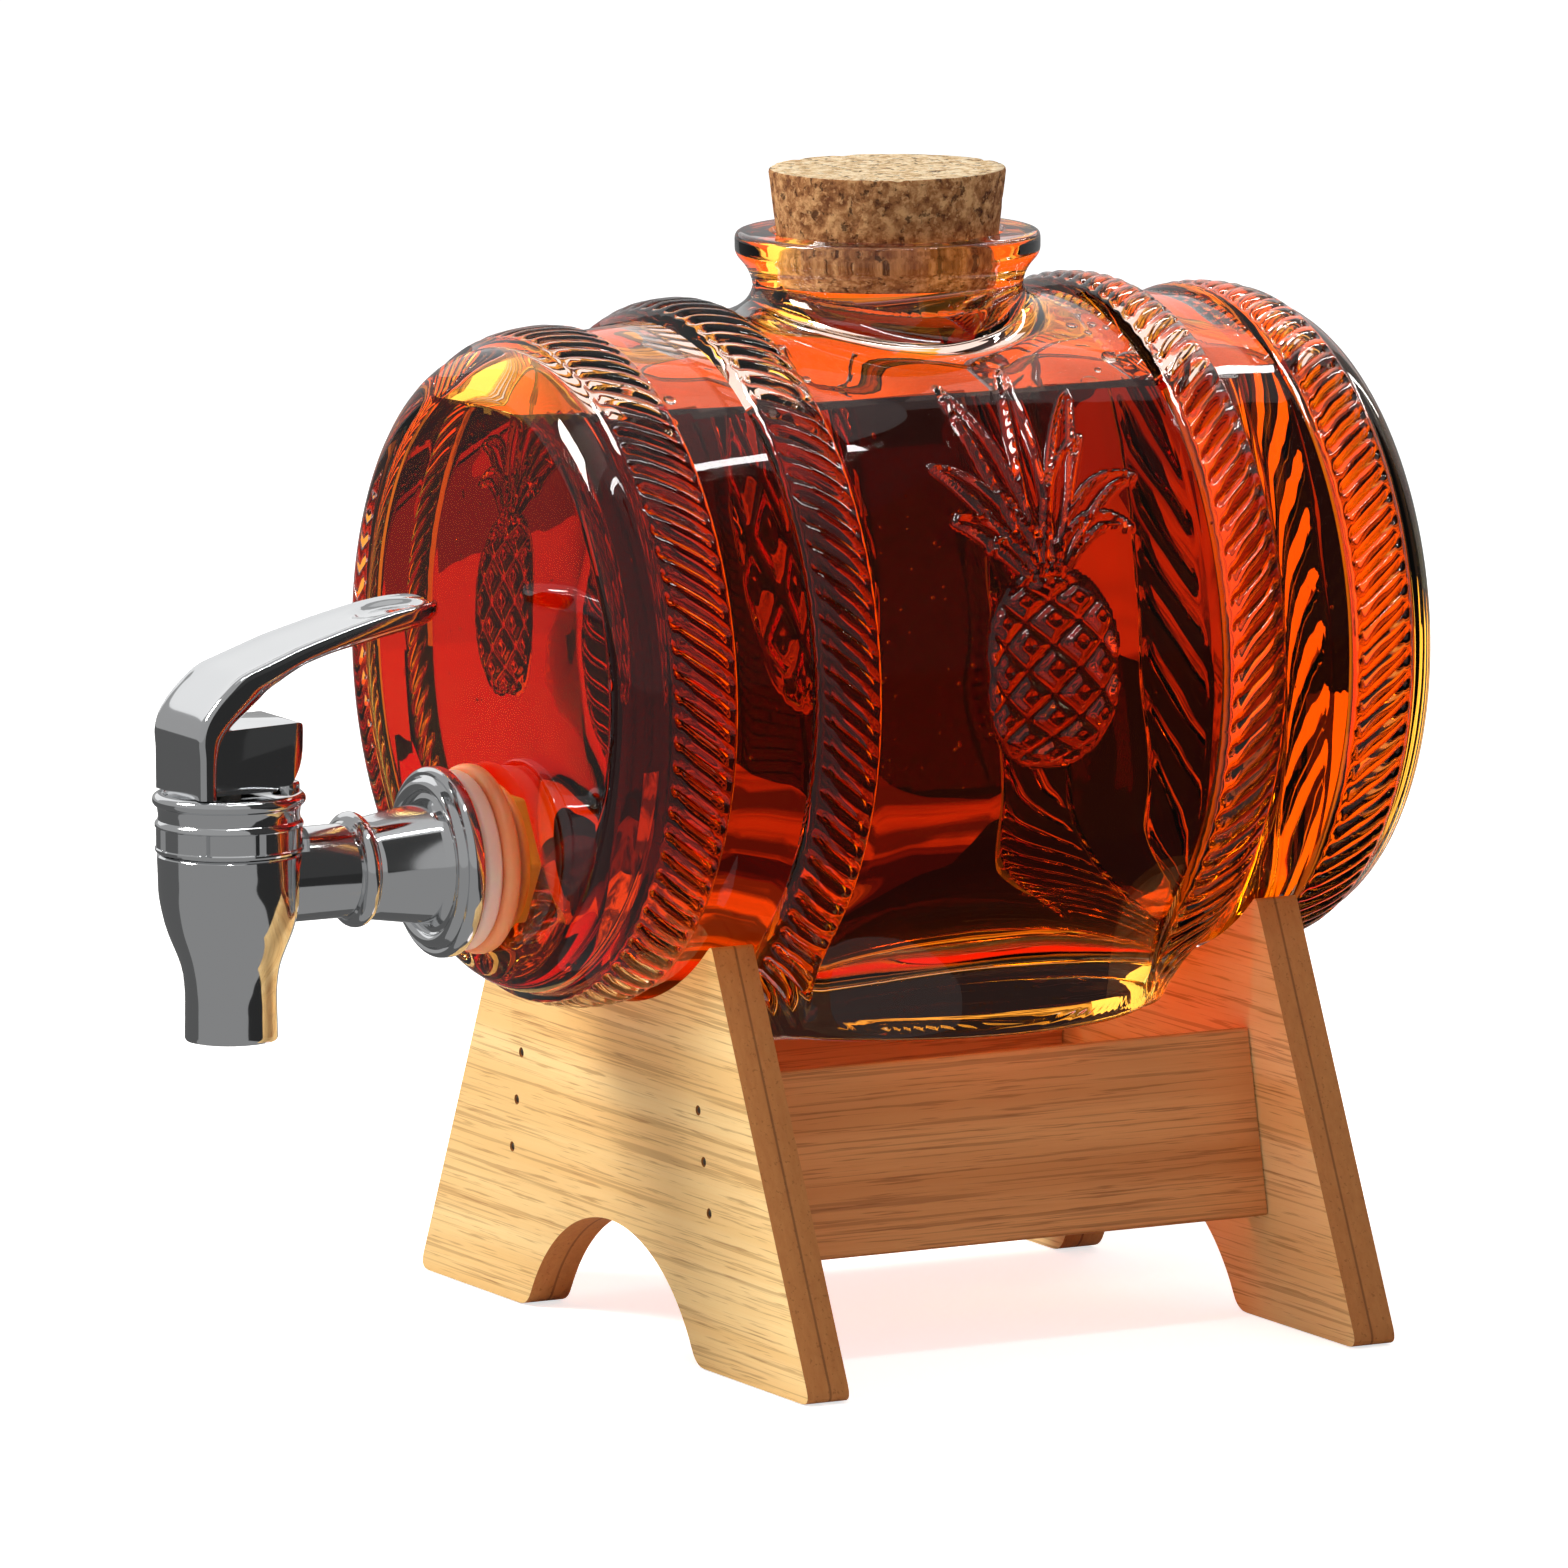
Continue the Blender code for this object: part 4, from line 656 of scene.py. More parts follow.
def softened(piece, width, segments, angle=30):
    bevel = piece.modifiers.new("soft_edges", "BEVEL")
    bevel.width = width
    bevel.segments = segments
    bevel.limit_method = "ANGLE"
    bevel.angle_limit = math.radians(angle)
    return settled(piece, 50)


# Glass barrel and drink

def smooth_step(x, low, high):
    t = np.clip((x - low) / (high - low), 0, 1)
    return t * t * (3 - 2 * t)


def blend_low(a, b, k):
    """The smaller of two distances, with a fillet of size k where they meet."""
    near = np.maximum(k - np.abs(a - b), 0) / k
    return np.minimum(a, b) - near * near * k / 4


def blend_high(a, b, k):
    return -blend_low(-a, -b, k)


def plain_radius(reach):
    return MID_RADIUS - (MID_RADIUS - SHOULDER_RADIUS) * (reach / SHOULDER_REACH) ** 2


def hoop_share(reach, hoop):
    """How far over a hoop a reach lies: 0 at the hoop's near edge, 1 at its far edge."""
    return (np.abs(reach) - hoop[0]) / (hoop[1] - hoop[0])


def strand_zone(share):
    """1 where a hoop has rope strands, 0 at its edges."""
    return smooth_step(share, 0.09, 0.14) * (1 - smooth_step(share, 0.86, 0.91))


def rope_turn(reach):
    """How far the rope strands have turned at this reach, in strand pitches."""
    return sum(RIB_SLANT * np.clip(hoop_share(reach, hoop), 0, 1) for hoop in HOOPS)


def hoop_rise(reach, strand):
    """Height of hoops, beads and rope strands over the plain barrel."""
    total = np.zeros(np.broadcast(reach, strand).shape)
    crest = np.sin(PI * (strand - np.floor(strand))) ** 0.7
    for hoop in HOOPS:
        share = hoop_share(reach, hoop)
        inside = np.clip(share, 0, 1)
        swell = np.maximum(1 - np.abs(2 * inside - 1) ** 3, 0) ** (2 / 3)
        beads = sum(np.exp(-((share - edge) / BEAD_SHARE) ** 2) for edge in (0.06, 0.94))
        total += hoop[2] * swell + BEAD_RISE * beads
        total += RIB_DEPTH * (crest - 1) * strand_zone(share)
    return total


def outer_radius(turn, reach, strand):
    """Where a ray from the axis leaves the glass: barrel, hoops and relief, with neck and foot blended on."""
    body = plain_radius(reach) + hoop_rise(reach, strand) + relief(turn, reach)
    low, high = (np.full(body.shape, limit) for limit in RADIUS_LIMITS)
    for _ in range(RADIUS_HALVINGS):
        radius = (low + high) / 2
        x, z = radius * np.cos(turn), radius * np.sin(turn)
        from_upright = np.hypot(x, reach)
        neck = np.maximum(from_upright - (NECK_RADIUS - NECK_OVERLAP), z - NECK_TOP_OVER_AXIS)
        foot = blend_high(from_upright - FOOT_RADIUS, -z - (AXIS_Z - FOOT_BOTTOM), FOOT_EDGE)
        neck = np.where(z > 0, neck, FAR_AWAY)
        foot = np.where(z < 0, foot, FAR_AWAY)
        distance = blend_low(radius - body, neck, NECK_FILLET)
        distance = blend_low(distance, foot, FOOT_FILLET)
        outside = distance > 0
        high = np.where(outside, radius, high)
        low = np.where(outside, low, radius)
    return (low + high) / 2


# Fruit relief on both sides: a body of square bosses under a fan of leaves, in reach and arc length over the
# axis. A leaf is its root, middle, tip and half width.
RELIEF_HALF_WIDTH = 0.026
RELIEF_BOTTOM = -0.02
RELIEF_TOP = 0.061
FRUIT_UP = 0.0025
FRUIT_HALF_WIDTH = 0.0117
FRUIT_HALF_HEIGHT = 0.016
FRUIT_RIM_HALF_WIDTH = 0.0116
FRUIT_RIM_HALF_HEIGHT = 0.0158
BOSS_TURN = math.radians(24.5)
BOSS_TILT = math.radians(14.7)
BOSS_RISE = 0.0015
LEAF_RISE = 0.0003
LEAF_RIM = 0.0009
LEAVES = (
    ((0.0, 0.019), (0.0012, 0.038), (0.004, 0.0565), 0.0021),
    ((-0.001, 0.019), (-0.005, 0.0375), (-0.009, 0.054), 0.0020),
    ((0.001, 0.019), (0.0075, 0.037), (0.014, 0.051), 0.0019),
    ((0.0015, 0.020), (0.0055, 0.032), (0.0125, 0.0415), 0.0021),
    ((-0.0015, 0.020), (-0.0085, 0.0315), (-0.016, 0.0377), 0.0019),
    ((0.002, 0.019), (0.0115, 0.0305), (0.020, 0.0335), 0.0017),
    ((-0.002, 0.0185), (-0.0085, 0.0255), (-0.015, 0.028), 0.0017),
    ((0.002, 0.018), (0.0095, 0.0255), (0.017, 0.0245), 0.0016),
    ((-0.0015, 0.0175), (-0.006, 0.0225), (-0.0095, 0.0225), 0.0013),
    ((-0.001, 0.020), (-0.0035, 0.027), (-0.005, 0.033), 0.0012),
)


def boss_field(across, up):
    """A lattice of raised squares on a swelling body, each with a dished top."""
    edge = (np.abs(across) / FRUIT_RIM_HALF_WIDTH) ** 2.4 + (np.abs(up) / FRUIT_RIM_HALF_HEIGHT) ** 2.4
    inside = 1 - smooth_step(edge, 0.88, 1.04)
    column = np.arcsin(np.clip(across / FRUIT_HALF_WIDTH, -0.999, 0.999)) / BOSS_TURN
    row = np.arcsin(np.clip(up / FRUIT_HALF_HEIGHT, -0.999, 0.999)) / BOSS_TILT
    a, b = (column + row) / 2, (column - row) / 2
    off = np.maximum(np.abs(a - np.round(a)), np.abs(b - np.round(b))) * 2
    boss = 1 - smooth_step(off, 0.42, 0.9)
    dish = 1 - smooth_step(off, 0.1, 0.42)
    return inside * (0.2 + 0.8 * boss - 0.22 * dish) * BOSS_RISE


def leaf_field(across, up, leaf):
    """One leaf as a sunken blade with a raised rim, along a curve through its root, middle and tip."""
    root, middle, tip, half_width = leaf
    best = np.full(across.shape, np.inf)
    for k in range(41):
        t = k / 40
        shares = ((1 - t) * (1 - 2 * t), 4 * t * (1 - t), t * (2 * t - 1))
        spine_x, spine_y = (sum(q * p[i] for q, p in zip(shares, (root, middle, tip))) for i in (0, 1))
        half = half_width * (math.sin(PI * (0.16 + 0.84 * t) ** 0.9) ** 0.8 + 0.12)
        best = np.minimum(best, np.hypot(across - spine_x, up - spine_y) / half)
    blade = 1 - smooth_step(best, 0.95, 1.15)
    rim = np.exp(-((best - 0.86) / 0.2) ** 2)
    return LEAF_RISE * blade + LEAF_RIM * rim


def relief(turn, reach):
    """Height of the fruit relief, the same on +X and -X."""
    height = np.zeros(np.broadcast(turn, reach).shape)
    for side, mirror in ((0, 1), (PI, -1)):
        up = mirror * np.arctan2(np.sin(turn - side), np.cos(turn - side)) * MID_RADIUS
        near = (np.abs(reach) < RELIEF_HALF_WIDTH) & (up > RELIEF_BOTTOM) & (up < RELIEF_TOP)
        across, up = (np.broadcast_to(part, height.shape)[near] for part in (mirror * reach, up))
        field = boss_field(across, up - FRUIT_UP)
        for leaf in LEAVES:
            field = np.maximum(field, leaf_field(across, up, leaf))
        height[near] = field
    return height


def head_rows(flat, head, side, side_reach, count):
    """(radius, reach) rows from a flat head's middle over its rounded shoulder."""
    rows = [(flat * i / 6, head) for i in range(1, 6)]
    for i in range(count):
        angle = PI / 2 * i / count
        rows.append((
            flat + (side - flat) * math.sin(angle), side_reach + (head - side_reach) * math.cos(angle)))
    return rows


def side_stations():
    """Reaches of the grid's rows: dense on hoops and relief, wide on the plain bands."""
    bands = ((0.0, 0.0215, 0.00048), (0.0215, INNER_HOOP[0], 0.0012), (*INNER_HOOP[:2], 0.0006),
             (INNER_HOOP[1], OUTER_HOOP[0], 0.0014), (*OUTER_HOOP[:2], 0.0006))
    half = []
    for low, high, step in bands:
        count = round((high - low) / step)
        half += [low + (high - low) * i / count for i in range(count)]
    half.append(SHOULDER_REACH)
    return [-r for r in reversed(half[1:])] + half


def glass_outside(material):
    stations = np.array(side_stations())[:, None]
    strand = np.arange(RIBS * COLUMNS_PER_RIB)[None, :] / COLUMNS_PER_RIB
    turned = rope_turn(stations)
    turn = (strand + (turned - turned[0])) * 2 * PI / RIBS
    reach, strand = (np.broadcast_to(part, turn.shape) for part in (stations, strand))
    head = head_rows(HEAD_FLAT, HALF_LENGTH, SHOULDER_RADIUS, SHOULDER_REACH, 10)
    radius = outer_radius(turn, reach, strand)
    return closed_barrel("glass_barrel_finish", turn, reach, radius, head, material)


def closed_barrel(name, turn, reach, radius, head, material):
    """A closed body from rows of points round the barrel's side, with the rows of a head at each end."""
    ones = np.ones((1, radius.shape[1]))
    head_radius, head_reach = (np.array(part)[:, None] * ones for part in zip(*head))
    turn = np.vstack([turn[:1].repeat(len(head), axis=0), turn, turn[-1:].repeat(len(head), axis=0)])
    reach = np.vstack([-head_reach, reach, head_reach[::-1]])
    radius = np.vstack([head_radius, radius, head_radius[::-1]])
    grid = np.stack([radius * np.cos(turn), BARREL_Y + reach, AXIS_Z + radius * np.sin(turn)], axis=-1)
    rows, columns = radius.shape
    middles = [[0, grid[end, 0, 1], AXIS_Z] for end in (0, -1)]
    vertices = np.vstack([grid.reshape(-1, 3), middles])
    index = np.arange(rows * columns).reshape(rows, columns)
    ahead = np.roll(index, -1, axis=1)
    faces = np.stack([index[:-1], index[1:], ahead[1:], ahead[:-1]], axis=-1).reshape(-1, 4).tolist()
    first = rows * columns
    faces += [(first, index[0, i], ahead[0, i]) for i in range(columns)]
    faces += [(first + 1, ahead[-1, i], index[-1, i]) for i in range(columns)]
    return from_arrays(name, vertices.tolist(), faces, material, 60)


def inner_wave(turn, reach):
    """Slight unevenness of the blown inside."""
    a = np.sin(5 * turn + 90 * reach) * np.cos(3 * turn - 140 * reach + 1.0)
    b = np.sin(9 * turn - 60 * reach + 2.0) * np.sin(170 * reach + 2 * turn)
    c = np.sin(14 * turn + 210 * reach) * 0.5
    return INNER_WAVE * (a + b + c)


def inside_form(name, grow, material):
    """The barrel's inner surface as a closed body, grown outward by a little."""
    side = plain_radius(INNER_SHOULDER_REACH) - WALL
    head = head_rows(INNER_FLAT + grow, HALF_LENGTH - WALL + grow, side + grow, INNER_SHOULDER_REACH, 12)
    stations = np.linspace(-INNER_SHOULDER_REACH, INNER_SHOULDER_REACH, 80)[:, None]
    turn = np.linspace(0, 2 * PI, 200, endpoint=False)[None, :]
    fade = np.cos(stations / INNER_SHOULDER_REACH * PI / 2) ** 0.3
    radius = plain_radius(stations) - WALL + grow + inner_wave(turn, stations) * fade
    turn, reach = (np.broadcast_to(part, radius.shape) for part in (turn, stations))
    return closed_barrel(name, turn, reach, radius, head, material)


def neck_form(material):
    """Upper neck wall with its flange, turned about the vertical."""
    top = FLANGE_TOP
    under = top - FLANGE_THICKNESS
    profile = rounded([
        (0, top), (FLANGE_RADIUS, top, 0.0013), (FLANGE_RADIUS, under, 0.0011),
        (NECK_RADIUS, under - 0.0032, 0.0030), (NECK_RADIUS, AXIS_Z + MID_RADIUS - 0.012),
        (0, AXIS_Z + 0.044)], 6)
    return lathe("neck_form", profile, 192, material, origin=(0, BARREL_Y, 0))


def bore_form(material):
    """Tapered mouth with a rounded lip, and the straight bore under it."""
    top = FLANGE_TOP
    over = top + 0.004
    profile = rounded([
        (0, over), (MOUTH_RADIUS + 0.0026, over), (MOUTH_RADIUS + 0.0011, top + 0.0002, 0.0009),
        (MOUTH_RADIUS, top - 0.0014, 0.0008), (BORE_RADIUS, top - MOUTH_DEPTH, 0.002), (BORE_RADIUS, AXIS_Z),
        (0, AXIS_Z)], 4)
    return lathe("bore_form", profile, 160, material, origin=(0, BARREL_Y, 0))


def recess_form(material):
    """The hollow under the foot."""
    low = FOOT_BOTTOM - 0.004
    high = FOOT_BOTTOM + FOOT_RECESS_DEPTH
    profile = rounded([
        (0, high), (FOOT_RECESS_RADIUS, high, 0.0012), (FOOT_RECESS_RADIUS + 0.0006, low), (0, low)], 4)
    return lathe("recess_form", profile, 128, material, origin=(0, BARREL_Y, 0))


def tail_hole(material):
    """The hole in the head for the tap's tail."""
    half = TAIL_HOLE_LENGTH / 2
    profile = [(0, half), (TAIL_HOLE_RADIUS, half), (TAIL_HOLE_RADIUS, -half), (0, -half)]
    middle = (0, BARREL_Y - HALF_LENGTH + WALL / 2, STEM_Z)
    return lathe("tail_hole", profile, 64, material, origin=middle, forward=True)


def glass_barrel(material, wetted):
    """The glass; its inner wall under the drink's level has the finish of glass against liquid."""
    barrel = glass_outside(material)
    combined(barrel, [neck_form(material)], "UNION", 60)
    cuts = [inside_form("cavity", 0.0, material)]
    cuts += [form(material) for form in (bore_form, recess_form, tail_hole)]
    combined(barrel, cuts, "DIFFERENCE", 60)
    barrel.data.materials.append(wetted)
    polygons = barrel.data.polygons
    centers = np.empty(len(polygons) * 3)
    polygons.foreach_get("center", centers)
    x, y, z = centers.reshape(-1, 3).T
    reach = y - BARREL_Y
    inside = np.hypot(x, z - AXIS_Z) < plain_radius(reach) - WALL + NEAR_WALL
    inside &= (np.abs(reach) < HALF_LENGTH - WALL + 0.0005) & (z < LEVEL_Z + 0.0004)
    polygons.foreach_set("material_index", inside.astype(np.int32))
    placed(barrel, "glass_barrel", "barrel")


def level_form(material):
    """Everything under the drink's surface, which creeps up a little at the glass."""
    halves = (LEVEL_HALF_WIDTH, LEVEL_HALF_LENGTH)
    xs, reaches = (np.arange(-half, half + 0.0001, LEVEL_STEP) for half in halves)
    half_widths = np.sqrt(np.maximum((plain_radius(reaches) - WALL) ** 2 - (LEVEL_Z - AXIS_Z) ** 2, 0))
    gap_side = half_widths[None, :] - np.abs(xs)[:, None]
    gap_head = HALF_LENGTH - WALL - np.abs(reaches)[None, :]
    gap = np.maximum(np.minimum(gap_side, gap_head), 0)
    top = LEVEL_Z + MENISCUS_RISE * np.exp(-gap / MENISCUS_WIDTH)
    parts = np.broadcast_arrays(xs[:, None], BARREL_Y + reaches[None, :], top)
    surface = np.stack(parts, axis=-1).reshape(-1, 3)
    bottom = surface.copy()
    bottom[:, 2] = AXIS_Z - LEVEL_HALF_WIDTH
    shift = top.size
    index = np.arange(shift).reshape(top.shape)
    upper = np.stack([index[:-1, :-1], index[1:, :-1], index[1:, 1:], index[:-1, 1:]], axis=-1).reshape(-1, 4)
    lower = (upper + shift)[:, ::-1]
    border = [*index[:, 0], *index[-1, 1:], *index[::-1, -1][1:], *index[0, ::-1][1:-1]]
    sides = [(a, a + shift, b + shift, b) for a, b in zip(border, border[1:] + border[:1])]
    faces = upper.tolist() + lower.tolist() + sides
    made = from_arrays("level_form", np.vstack([surface, bottom]).tolist(), faces, material)
    outward_faces(made)
    return made


def barrel_spot(turn, reach, radius):
    """The point at a turn, a reach and a distance from the barrel's axis."""
    return Vector((radius * math.cos(turn), BARREL_Y + reach, AXIS_Z + radius * math.sin(turn)))


def add_bubbles(body):
    """Fine air bubbles in the drink, most of them near the glass on the tap's side of the relief."""
    rng = random.Random(11)
    bm = bmesh.new()
    bm.from_mesh(body.data)
    for i in range(BUBBLES):
        turned = rng.uniform(-0.35, 0.72)
        turn = turned if i % 3 else PI - turned
        reach = rng.uniform(-0.030, 0.006) if i % 4 else rng.uniform(-0.060, 0.055)
        spot = barrel_spot(turn, reach, rng.uniform(0.040, 0.0505))
        if spot.z > LEVEL_Z - 0.002:
            continue
        size = rng.choice((0.00012, 0.00016, 0.0002, 0.0003))
        made = bmesh.ops.create_icosphere(bm, subdivisions=2, radius=size, matrix=Matrix.Translation(spot))
        skins = list({face for vertex in made["verts"] for face in vertex.link_faces})
        bmesh.ops.reverse_faces(bm, faces=skins)
        for face in skins:
            face.smooth = True
            face.material_index = 1
    bm.to_mesh(body.data)
    bm.free()


def drops(material):
    """Drops that cling inside the glass over the drink."""
    rng = random.Random(5)
    bm = bmesh.new()
    for i in range(DROPS):
        turn = math.radians(rng.uniform(56, 74))
        turn = turn if i % 4 else PI - turn
        reach = rng.uniform(0.022, 0.060) * rng.choice((-1, 1))
        spot = barrel_spot(turn, reach, plain_radius(reach) - WALL)
        size = rng.uniform(0.0006, 0.0015)
        lie = Matrix.Rotation(PI / 2 - turn, 4, "Y")
        shape = Matrix.Diagonal((size * 0.9, size, size * 0.45, 1))
        matrix = Matrix.Translation(spot) @ lie @ shape
        bmesh.ops.create_icosphere(bm, subdivisions=3, radius=1.0, matrix=matrix)
    for face in bm.faces:
        face.smooth = True
    mesh = bpy.data.meshes.new("clinging_drops")
    bm.to_mesh(mesh)
    bm.free()
    mesh.materials.append(material)
    piece = bpy.data.objects.new("clinging_drops", mesh)
    bpy.context.scene.collection.objects.link(piece)
    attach(piece, "barrel")


def drink(material, top_finish):
    body = inside_form("drink", WET_OVERLAP, material)
    combined(body, [level_form(material)], "INTERSECT", 50)
    body.data.materials.append(top_finish)
    for polygon in body.data.polygons:
        open_top = polygon.normal.z > 0.3 and polygon.center.z > LEVEL_Z - 0.0003
        polygon.material_index = int(open_top)
    add_bubbles(body)
    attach(body, "barrel")


# Cork

def cork(side, ends):
    """The tapered cork with crumbled pits and slightly worn edges; its ends have a paler copy of the cork
    finish, which is painted light from above.
    """
    top, bottom = CORK_HIGH.z, CORK_LOW.z
    top_radius = (CORK_HIGH.x - CORK_LOW.x) / 2

    def radius_at(share):
        return top_radius + (CORK_BOTTOM_RADIUS - top_radius) * share

    rows = [(top_radius * 0.985 * i / 13, top) for i in range(14)]
    rows.append((top_radius - 0.00015, top - 0.0002))
    rows += [(radius_at(i / 30), top + (bottom - top) * (i / 30)) for i in range(1, 30)]
    rows.append((CORK_BOTTOM_RADIUS - 0.0004, bottom))
    rows += [(CORK_BOTTOM_RADIUS * k / 4, bottom) for k in (3, 2, 1, 0)]
    piece = lathe("cork_finish", rows, 200, side, origin=(0, BARREL_Y, 0), angle=80)
    piece.data.materials.append(ends)
    # The ends take the paler finish: painted light, as if lit from above, against the darker side
    for face in piece.data.polygons:
        face.material_index = int(abs(face.normal.z) > 0.7)
    rng = random.Random(7)
    pits = []
    for _ in range(CORK_SIDE_PITS):
        turn = rng.uniform(0, 2 * PI)
        height = rng.uniform(FLANGE_TOP + 0.0004, top)
        pits.append((turn, radius_at((top - height) / (top - bottom)), height, rng.uniform(0.0004, 0.001)))
    for _ in range(CORK_TOP_PITS):
        turn, radius = rng.uniform(0, 2 * PI), top_radius * math.sqrt(rng.random())
        pits.append((turn, radius, top, rng.uniform(0.0004, 0.0009)))
    spots, inward = (
        np.array([getattr(vertex, part) for vertex in piece.data.vertices]) for part in ("co", "normal"))
    depth = np.zeros(len(spots))
    for turn, radius, height, size in pits:
        middle = np.array([radius * math.cos(turn), BARREL_Y + radius * math.sin(turn), height])
        away = np.linalg.norm(spots - middle, axis=1)
        depth = np.maximum(depth, 0.45 * size * np.exp(-(away / size) ** 2 * 1.5))
    moved = spots - inward * depth[:, None]
    piece.data.vertices.foreach_set("co", moved.ravel())
    piece.data.update()
    placed(piece, "cork_stopper", "cork")


# Tap

def upright(name, profile, segments, material, ring=False):
    """Turned about the tap's own axis."""
    return lathe(name, profile, segments, material, origin=(0, TAP_Y, 0), ring=ring, angle=30)


def level(name, profile, segments, material):
    """Turned about the stem's axis from (radius, distance behind the tap's axis) points."""
    points = [(radius, -rear) for radius, rear in profile]
    return lathe(name, points, segments, material, (0, TAP_Y, STEM_Z), forward=True, ring=True, angle=30)


def bore(name, radius, front, rear, material):
    """What cuts a round hole along the stem's axis."""
    return level(name, [(0.00001, front), (radius, front), (radius, rear), (0.00001, rear)], 48, material)


def bulge(center, radius, start, end, steps=8):
    """Points of an arc, its angles in degrees."""
    angles = [math.radians(start + (end - start) * i / steps) for i in range(steps + 1)]
    return [(center[0] + radius * math.cos(a), center[1] + radius * math.sin(a)) for a in angles]


def tap_body(material):
    """The upright body with its chamber, seat and spout, and the stem with bead, cone, flange and tail."""
    seat_back = SEAT_Z - SEAT_THICKNESS
    profile = [(COLLAR_RADIUS, COLLAR_TOP), (COLLAR_RADIUS, BODY_TOP), (BODY_SHOULDER, BODY_TOP)]
    profile += [(radius, STEM_Z + rise) for radius, rise in smooth_line(BODY_SIDE, 6)[1:]]
    profile += [
        (0.0074, OUTLET_Z + 0.0001), (0.0070, OUTLET_Z), (SPOUT_BORE + 0.0002, OUTLET_Z),
        (SPOUT_BORE, OUTLET_Z + 0.0003), (SPOUT_BORE, seat_back), (SEAT_BORE, seat_back),
        (SEAT_BORE, SEAT_Z), (CHAMBER_RADIUS, SEAT_Z), (CHAMBER_RADIUS, COLLAR_TOP)]
    body = upright("tap_body_finish", profile, 112, material, ring=True)
    profile = [(WATERWAY_RADIUS, 0.0080), (STEM_RADIUS, 0.0080), (STEM_RADIUS, 0.0202), (0.0081, 0.0205)]
    profile += bulge((0.0079, 0.0220), 0.0016, -80, 80, 10)
    profile += [
        (0.0083, 0.0238), (0.0084, 0.0245), (0.0099, CONE_BACK - 0.0016), (0.0101, CONE_BACK - 0.0008),
        (0.0106, CONE_BACK - 0.0002), (0.0114, CONE_BACK)]
    profile += bulge((0.0128, CONE_BACK), 0.0011, -170, -10)
    profile += [(0.0143, CONE_BACK + 0.0002)]
    profile += bulge((0.0144, CONE_BACK + 0.0013), 0.0013, -70, 0, 6)
    profile += bulge((0.0150, FLANGE_BACK - 0.0007), 0.0007, 0, 90, 4)
    profile += [(TAIL_RADIUS, FLANGE_BACK), (TAIL_RADIUS, TAIL_END), (WATERWAY_RADIUS, TAIL_END)]
    stem = level("stem_form", profile, 112, material)
    top = STEM_Z + 0.014
    clear = [(0, top), (BONNET_ROOM, top), (BONNET_ROOM, BODY_TOP), (0, BODY_TOP)]
    combined(stem, [upright("bonnet_room", clear, 96, material)], "DIFFERENCE", 30)
    combined(body, [stem], "UNION", 30)
    way = bore("waterway_form", WATERWAY_RADIUS, 0.002, TAIL_END + 0.003, material)
    combined(body, [way], "DIFFERENCE", 30)
    placed(body, "tap_body", "barrel")


def bonnet(material):
    """The screwed bonnet: a rolled top rim, a neck, a grip band with notches and the peg at its rear."""
    rod_hole = ROD_RADIUS + CLEARANCE
    collar_hole = COLLAR_RADIUS + CLEARANCE
    bottom = BODY_TOP + CLEARANCE
    plate = BONNET_TOP - 0.0032
    profile = [(rod_hole, BONNET_TOP - 0.0002), (0.0098, BONNET_TOP - 0.0002)]
    profile += bulge((0.0114, BONNET_TOP - 0.0011), 0.0011, 130, -60, 14)
    profile += [
        (0.0117, BONNET_TOP - 0.0024), (0.01155, BONNET_TOP - 0.0034), (0.0116, GRIP_TOP + 0.0004),
        (0.0119, GRIP_TOP + 0.0001), (0.0121, GRIP_TOP - 0.0003), (0.0121, GRIP_TOP - 0.0007)]
    first_band = len(profile)
    band = GRIP_TOP - 0.0009 - bottom - 0.0008
    profile += [(0.0119, GRIP_TOP - 0.0009 - band * i / 6) for i in range(7)]
    last_band = len(profile)
    profile += [
        (0.0121, bottom + 0.0006), (0.0121, bottom + 0.0003), (0.0119, bottom), (collar_hole, bottom),
        (collar_hole, plate), (rod_hole, plate)]
    piece = upright("tap_bonnet_finish", profile, BONNET_COLUMNS, material, ring=True)
    notch = 2 * PI * GRIP_RADIUS / GRIP_NOTCHES
    for vertex in piece.data.vertices[first_band * BONNET_COLUMNS:last_band * BONNET_COLUMNS]:
        turn = math.atan2(vertex.co.y - TAP_Y, vertex.co.x) / (2 * PI) * GRIP_NOTCHES
        off = abs(turn - round(turn)) * notch
        sink = GRIP_NOTCH_DEPTH * max(1 - (off / GRIP_NOTCH_HALF_WIDTH) ** 2, 0)
        share = 1 - sink / GRIP_RADIUS
        vertex.co.x *= share
        vertex.co.y = TAP_Y + (vertex.co.y - TAP_Y) * share
    top = BONNET_TOP + PEG_RISE
    side = rounded([(0, top), (PEG_RADIUS, top, 0.0005), (PEG_RADIUS, bottom, 0.0002), (0, bottom)], 4)
    peg = lathe("peg_form", side, 40, material, origin=(0, TAP_Y + PEG_OFFSET, 0), angle=30)
    under = bottom - 0.002
    room = [(0, plate), (collar_hole, plate), (collar_hole, under), (0, under)]
    combined(peg, [upright("collar_form", room, BONNET_COLUMNS, material)], "DIFFERENCE", 30)
    combined(piece, [peg], "UNION", 30)
    placed(piece, "tap_bonnet", "barrel")


def arm_half_width(along):
    """Half the arm's width, which narrows toward its round tip."""
    past = along - (LEVER_TIP - LEVER_TIP_HALF_WIDTH)
    if past > 0:
        return math.sqrt(max(LEVER_TIP_HALF_WIDTH ** 2 - past ** 2, 0.0005 ** 2))
    straight = max(along / (LEVER_TIP - LEVER_TIP_HALF_WIDTH), 0)
    return LEVER_HALF_WIDTH + (LEVER_TIP_HALF_WIDTH - LEVER_HALF_WIDTH) * straight


